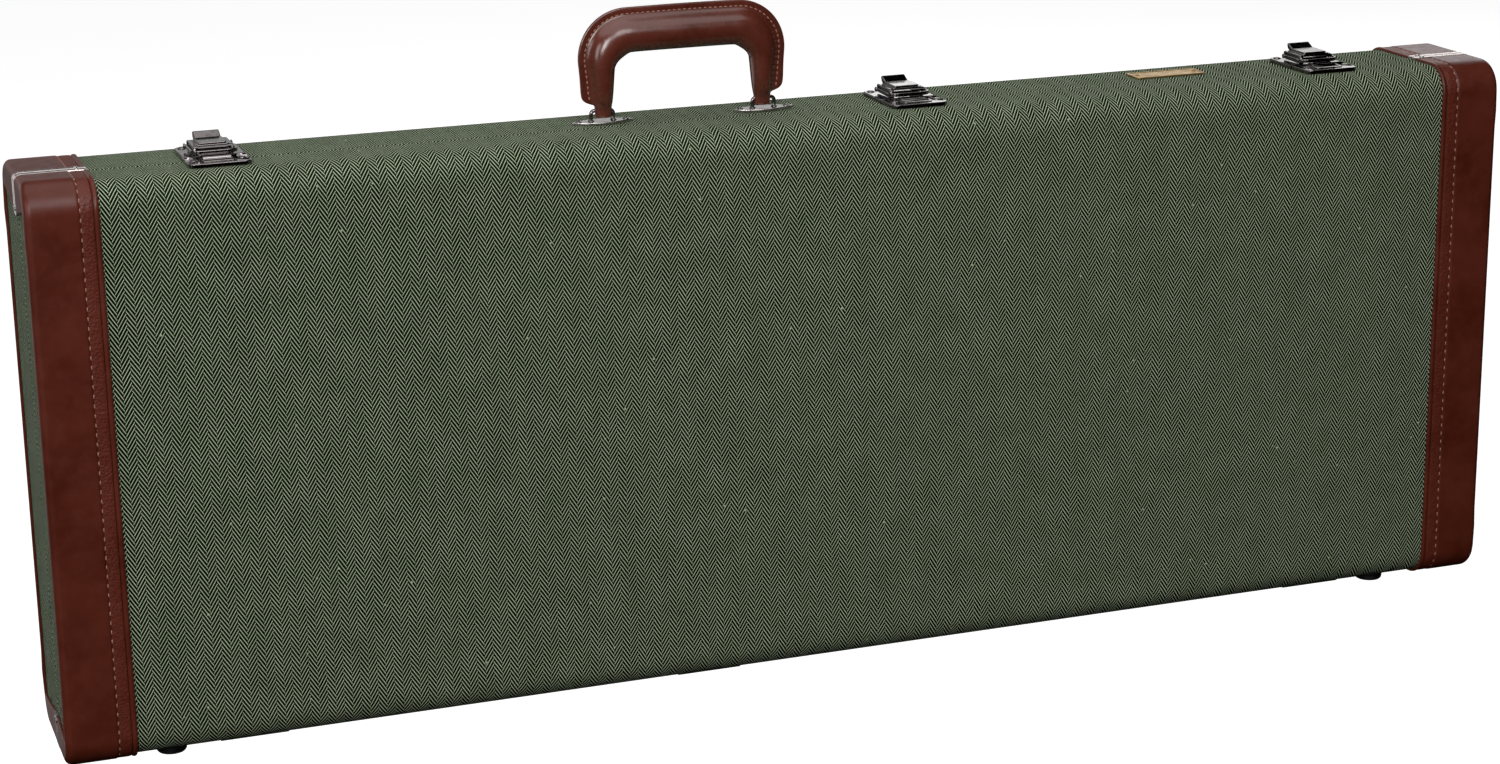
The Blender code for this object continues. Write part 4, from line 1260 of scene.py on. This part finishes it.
def make_badge():
    """A blank brass plate with a raised border, held by two nails."""
    low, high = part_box("badge")
    x, y = (low.x + high.x) / 2, (low.y + high.y) / 2
    half_x, half_y = (high.x - low.x) / 2, (high.y - low.y) / 2
    z = low.z
    plate = prism("plate", rounded_outline(half_x, -half_y, half_y, 2 * MM, 2 * MM), "Z", 0.0,
                  1.0 * MM, 0.25 * MM, 3, (False, True))
    sunk = prism("sunk", rounded_outline(half_x - 1.6 * MM, -half_y + 1.6 * MM, half_y - 1.6 * MM,
                                         1.4 * MM, 1.4 * MM), "Z", *mm(0.72, 2.0, 0.15),
                 2, (True, False))
    joined(plate, [sunk], "DIFFERENCE")
    moved(weighted(plate), x, y, z)
    plate.name = "badge_plate"
    dress(plate, BRASS, "base", ["badge"])
    heads = [rivet("head", x + end * (half_x - 4.5 * MM), y, z + 0.7 * MM, 1.5 * MM, 0.8 * MM)
             for end in (-1, 1)]
    dress(merged("badge_nails", heads), BRASS, "base")


make_feet()
make_hinges()
make_badge()


# ---------------------------------------------------------------- wood and padding

def pinned_share(points, far_y, walls, reach):
    """1 where a block is glued to the base's lining, falling to 0 a little way off."""
    away = far_y - points[:, 1]
    for axis, plane in walls:
        away = np.minimum(away, np.abs(points[:, axis] - plane))
    return np.clip(1 - away / reach, 0, 1)


def numbers(data, name, count):
    """A mesh's points or normals as an array with three columns."""
    flat = np.empty(count * 3)
    data.foreach_get(name, flat)
    return flat.reshape(-1, 3)


def puffed(node, voxel, shrink, walls, seed):
    """A foam block under plush: the CAD block remeshed, drawn in and blown up as cloth."""
    glued_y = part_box(node)[1].y
    piece = welded(linked(node + "_plush", frame["nodes"][node].data.copy()))
    remesh = piece.modifiers.new("remesh", "REMESH")
    remesh.mode = "VOXEL"
    remesh.voxel_size = voxel
    relax = piece.modifiers.new("relax", "SMOOTH")
    relax.factor, relax.iterations = 0.5, 8
    applied(piece)
    mesh = piece.data
    count = len(mesh.vertices)
    start = numbers(mesh.vertices, "co", count)
    normals = numbers(mesh.vertex_normals, "vector", count)
    held = pinned_share(start, glued_y, walls, 9 * MM)
    drawn = start - normals * (shrink * (1 - held))[:, None]
    mesh.vertices.foreach_set("co", drawn.ravel())
    mesh.update()
    group = piece.vertex_groups.new(name="pin")
    for i in np.nonzero(held > 0.25)[0]:
        group.add([int(i)], float(min(1.0, held[i] * 1.4)), "REPLACE")
    cloth = piece.modifiers.new("cloth", "CLOTH")
    settings = cloth.settings
    settings.quality = 6
    settings.mass = 0.25
    settings.tension_stiffness = settings.compression_stiffness = 12
    settings.bending_stiffness = 1.5
    settings.effector_weights.gravity = 0
    settings.vertex_group_mass = "pin"
    settings.use_pressure = True
    settings.uniform_pressure_force = 4
    cloth.collision_settings.use_collision = False
    cloth.point_cache.frame_start, cloth.point_cache.frame_end = 1, CLOTH_FRAMES
    scene = bpy.context.scene
    for number in range(1, CLOTH_FRAMES + 1):
        scene.frame_set(number)
    applied(piece)
    scene.frame_set(1)
    move = numbers(piece.data.vertices, "co", count) - drawn
    size = np.linalg.norm(move, axis=1)
    cap = (shrink + 1.2 * MM) * (1 - held) + 1e-6
    move *= np.minimum(1, cap / np.maximum(size, 1e-9))[:, None]
    final = drawn + move
    dents = np.array([noise.noise(Vector(point) * 22 + Vector((seed, 0, 0))) for point in final])
    final += normals * (dents * 0.7 * MM * (1 - held))[:, None]
    piece.data.vertices.foreach_set("co", final.ravel())
    piece.data.update()
    smoothed(piece)
    piece.data.shade_smooth()
    dress(piece, PLUSH, "base", [node])


def make_wood():
    for node in ("lid_shell", "base_shell", "rim_tongue"):
        plated(node, PLYWOOD, 0.5 * MM)


def make_padding():
    """Corner blocks for the body, waist blocks, shoulder blocks and the neck cradle."""
    seed = 0
    for name in ("tail_block", "waist_block", "shoulder_block"):
        for level in ("lower", "upper"):
            node = f"{name}_{level}"
            low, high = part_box(node)
            walls = [(2, low.z if level == "lower" else high.z)]
            if name == "tail_block":
                walls.append((0, low.x))
            seed += 3.7
            puffed(node, 5 * MM, 4 * MM, walls, seed)
    puffed("neck_cradle", 4 * MM, 2.5 * MM, [], seed + 3.7)


def make_accessory_box():
    """Plush-covered compartment, with a plush-covered board for a lid and a leather pull."""
    walls = welded(linked("accessory_box_plush", frame["nodes"]["accessory_box"].data.copy()))
    soften(walls, 1.9 * MM, 4)
    applied(walls)
    walls.data.shade_smooth()
    dress(walls, PLUSH, "base", ["accessory_box"])

    low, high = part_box("accessory_lid")
    outline = [(point[0] + (low.x + high.x) / 2, point[1] + (low.z + high.z) / 2) for point in
               rounded_outline((high.x - low.x) / 2, -(high.z - low.z) / 2, (high.z - low.z) / 2,
                               0.8 * MM, 5 * MM)]
    board = prism("accessory_lid_plush", outline, "Y", low.y, high.y, 1.6 * MM, 4)
    dress(weighted(board), PLUSH, "accessory_lid", ["accessory_lid"])

    middle = (low.x + high.x) / 2
    rings = []
    for z, y, half in ((-18, 0.15, 5.6), (-17, 0.9, 6.2), (-14, 1.1, 6.5), (-6, 1.15, 6.5),
                       (-1, 1.3, 6.5), (2.5, 1.2, 6.4), (6.0, 0.4, 6.2), (9.0, -0.8, 5.6),
                       (10.6, -1.6, 4.2), (11.1, -1.9, 2.0)):
        rings.append([(middle + u * MM, low.y - (y + v) * MM, high.z + z * MM)
                      for u, v in rounded_bar(half, 0.65, 0.5)])
    pull = loft("accessory_pull", rings)
    dress(pull, GRIP, "accessory_lid")
    head = rivet("accessory_pull_rivet", middle, 0, 0, 2.0 * MM, 0.8 * MM)
    head.data.transform(Matrix.Rotation(math.radians(90), 4, "X"))
    moved(head, 0, low.y - 1.5 * MM, high.z - 10 * MM)
    dress(head, NICKEL, "accessory_lid")

    box_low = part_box("accessory_box")[0]
    top, hinge_z = box_low.y - 0.45 * MM, low.z
    path = [(top, box_low.z + 0.8 * MM)]
    path += [(top - back * MM, hinge_z - below * MM) for back, below in
             ((0, 2.4), (0.3, 1.4), (1.2, 0.8))]
    path += [(low.y + ahead * MM, hinge_z + above * MM) for ahead, above in
             ((1.4, -0.6), (0.2, -0.2), (-0.4, 0.8), (-0.5, 3), (-0.5, 11))]
    front, back = [], []
    for i, (y, z) in enumerate(path):
        before, after = path[max(i - 1, 0)], path[min(i + 1, len(path) - 1)]
        tangent = Vector((after[0] - before[0], after[1] - before[1])).normalized()
        front.append((y - tangent.y * 0.35 * MM, z + tangent.x * 0.35 * MM))
        back.append((y + tangent.y * 0.35 * MM, z - tangent.x * 0.35 * MM))
    rings = [[(x, y, z) for y, z in front + back[::-1]]
             for x in np.linspace(low.x + 3 * MM, high.x - 3 * MM, 40)]
    strip = loft("accessory_hinge_strip", rings, smooth_deg=50.0)
    strip.data.materials.append(PLUSH)
    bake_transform(strip)


make_wood()
make_padding()
make_accessory_box()


# ---------------------------------------------------------------- floor, light and finish

def make_floor():
    """A pale floor, low enough for the open lid to hang clear of it."""
    outline = [(x * STAGE_REACH, y * STAGE_REACH) for x, y in ((-1, -1), (1, -1), (1, 1), (-1, 1))]
    floor = prism("floor", outline, "Z", STAGE_LEVEL - 0.02, STAGE_LEVEL)
    floor.data.materials.append(floor_material())
    floor.visible_glossy = False
    floor.visible_diffuse = False


def area_light(name, place, target, size, power):
    """A white rectangular lamp at a place, turned to a target."""
    data = bpy.data.lights.new(name, "AREA")
    data.shape = "RECTANGLE"
    data.size, data.size_y = size
    data.energy = power
    light = linked(name, data)
    light.location = place
    light.rotation_euler = (Vector(target) - Vector(place)).to_track_quat("-Z", "Y").to_euler()
    return light


def make_light():
    """Softboxes round the case; the world is only the white backdrop that the camera sees."""
    world = bpy.data.worlds.new("studio")
    world.use_nodes = True
    background = world.node_tree.nodes["Background"]
    background.inputs["Color"].default_value = (1.0, 1.0, 1.0, 1.0)
    background.inputs["Strength"].default_value = 1.0
    bpy.context.scene.world = world
    world.cycles_visibility.diffuse = False
    world.cycles_visibility.glossy = False
    target = (0.0, 0.0, 0.2)
    area_light("back_wall", (0.6, 3.0, 1.1), (0.6, 0.0, 0.9), (6.0, 1.0), 10.0)
    area_light("top_softbox", (-0.3, -0.2, 2.2), target, (3.0, 2.2), 26.0)
    area_light("left_softbox", (-2.4, -0.9, 1.0), target, (0.9, 1.3), 12.0)
    area_light("left_back_softbox", (-2.0, 2.0, 0.4), (-0.5, 0.0, 0.2), (1.6, 1.8), 8.0)
    area_light("right_back_softbox", (1.85, 2.4, 1.6), target, (1.8, 1.4), 12.0)
    area_light("front_left_softbox", (-1.9, -2.9, 1.7), target, (1.1, 1.5), 60.0)
    area_light("front_right_softbox", (-0.1, -2.9, 2.6), target, (1.6, 1.5), 40.0)
    glow = area_light("floor_glow", (-0.75, 0.75, -0.13), (-0.75, 0.75, 1.0), (1.2, 0.9), 1.0)
    glow.visible_camera = False
    bpy.context.scene.view_settings.view_transform = "Standard"


make_floor()
make_light()
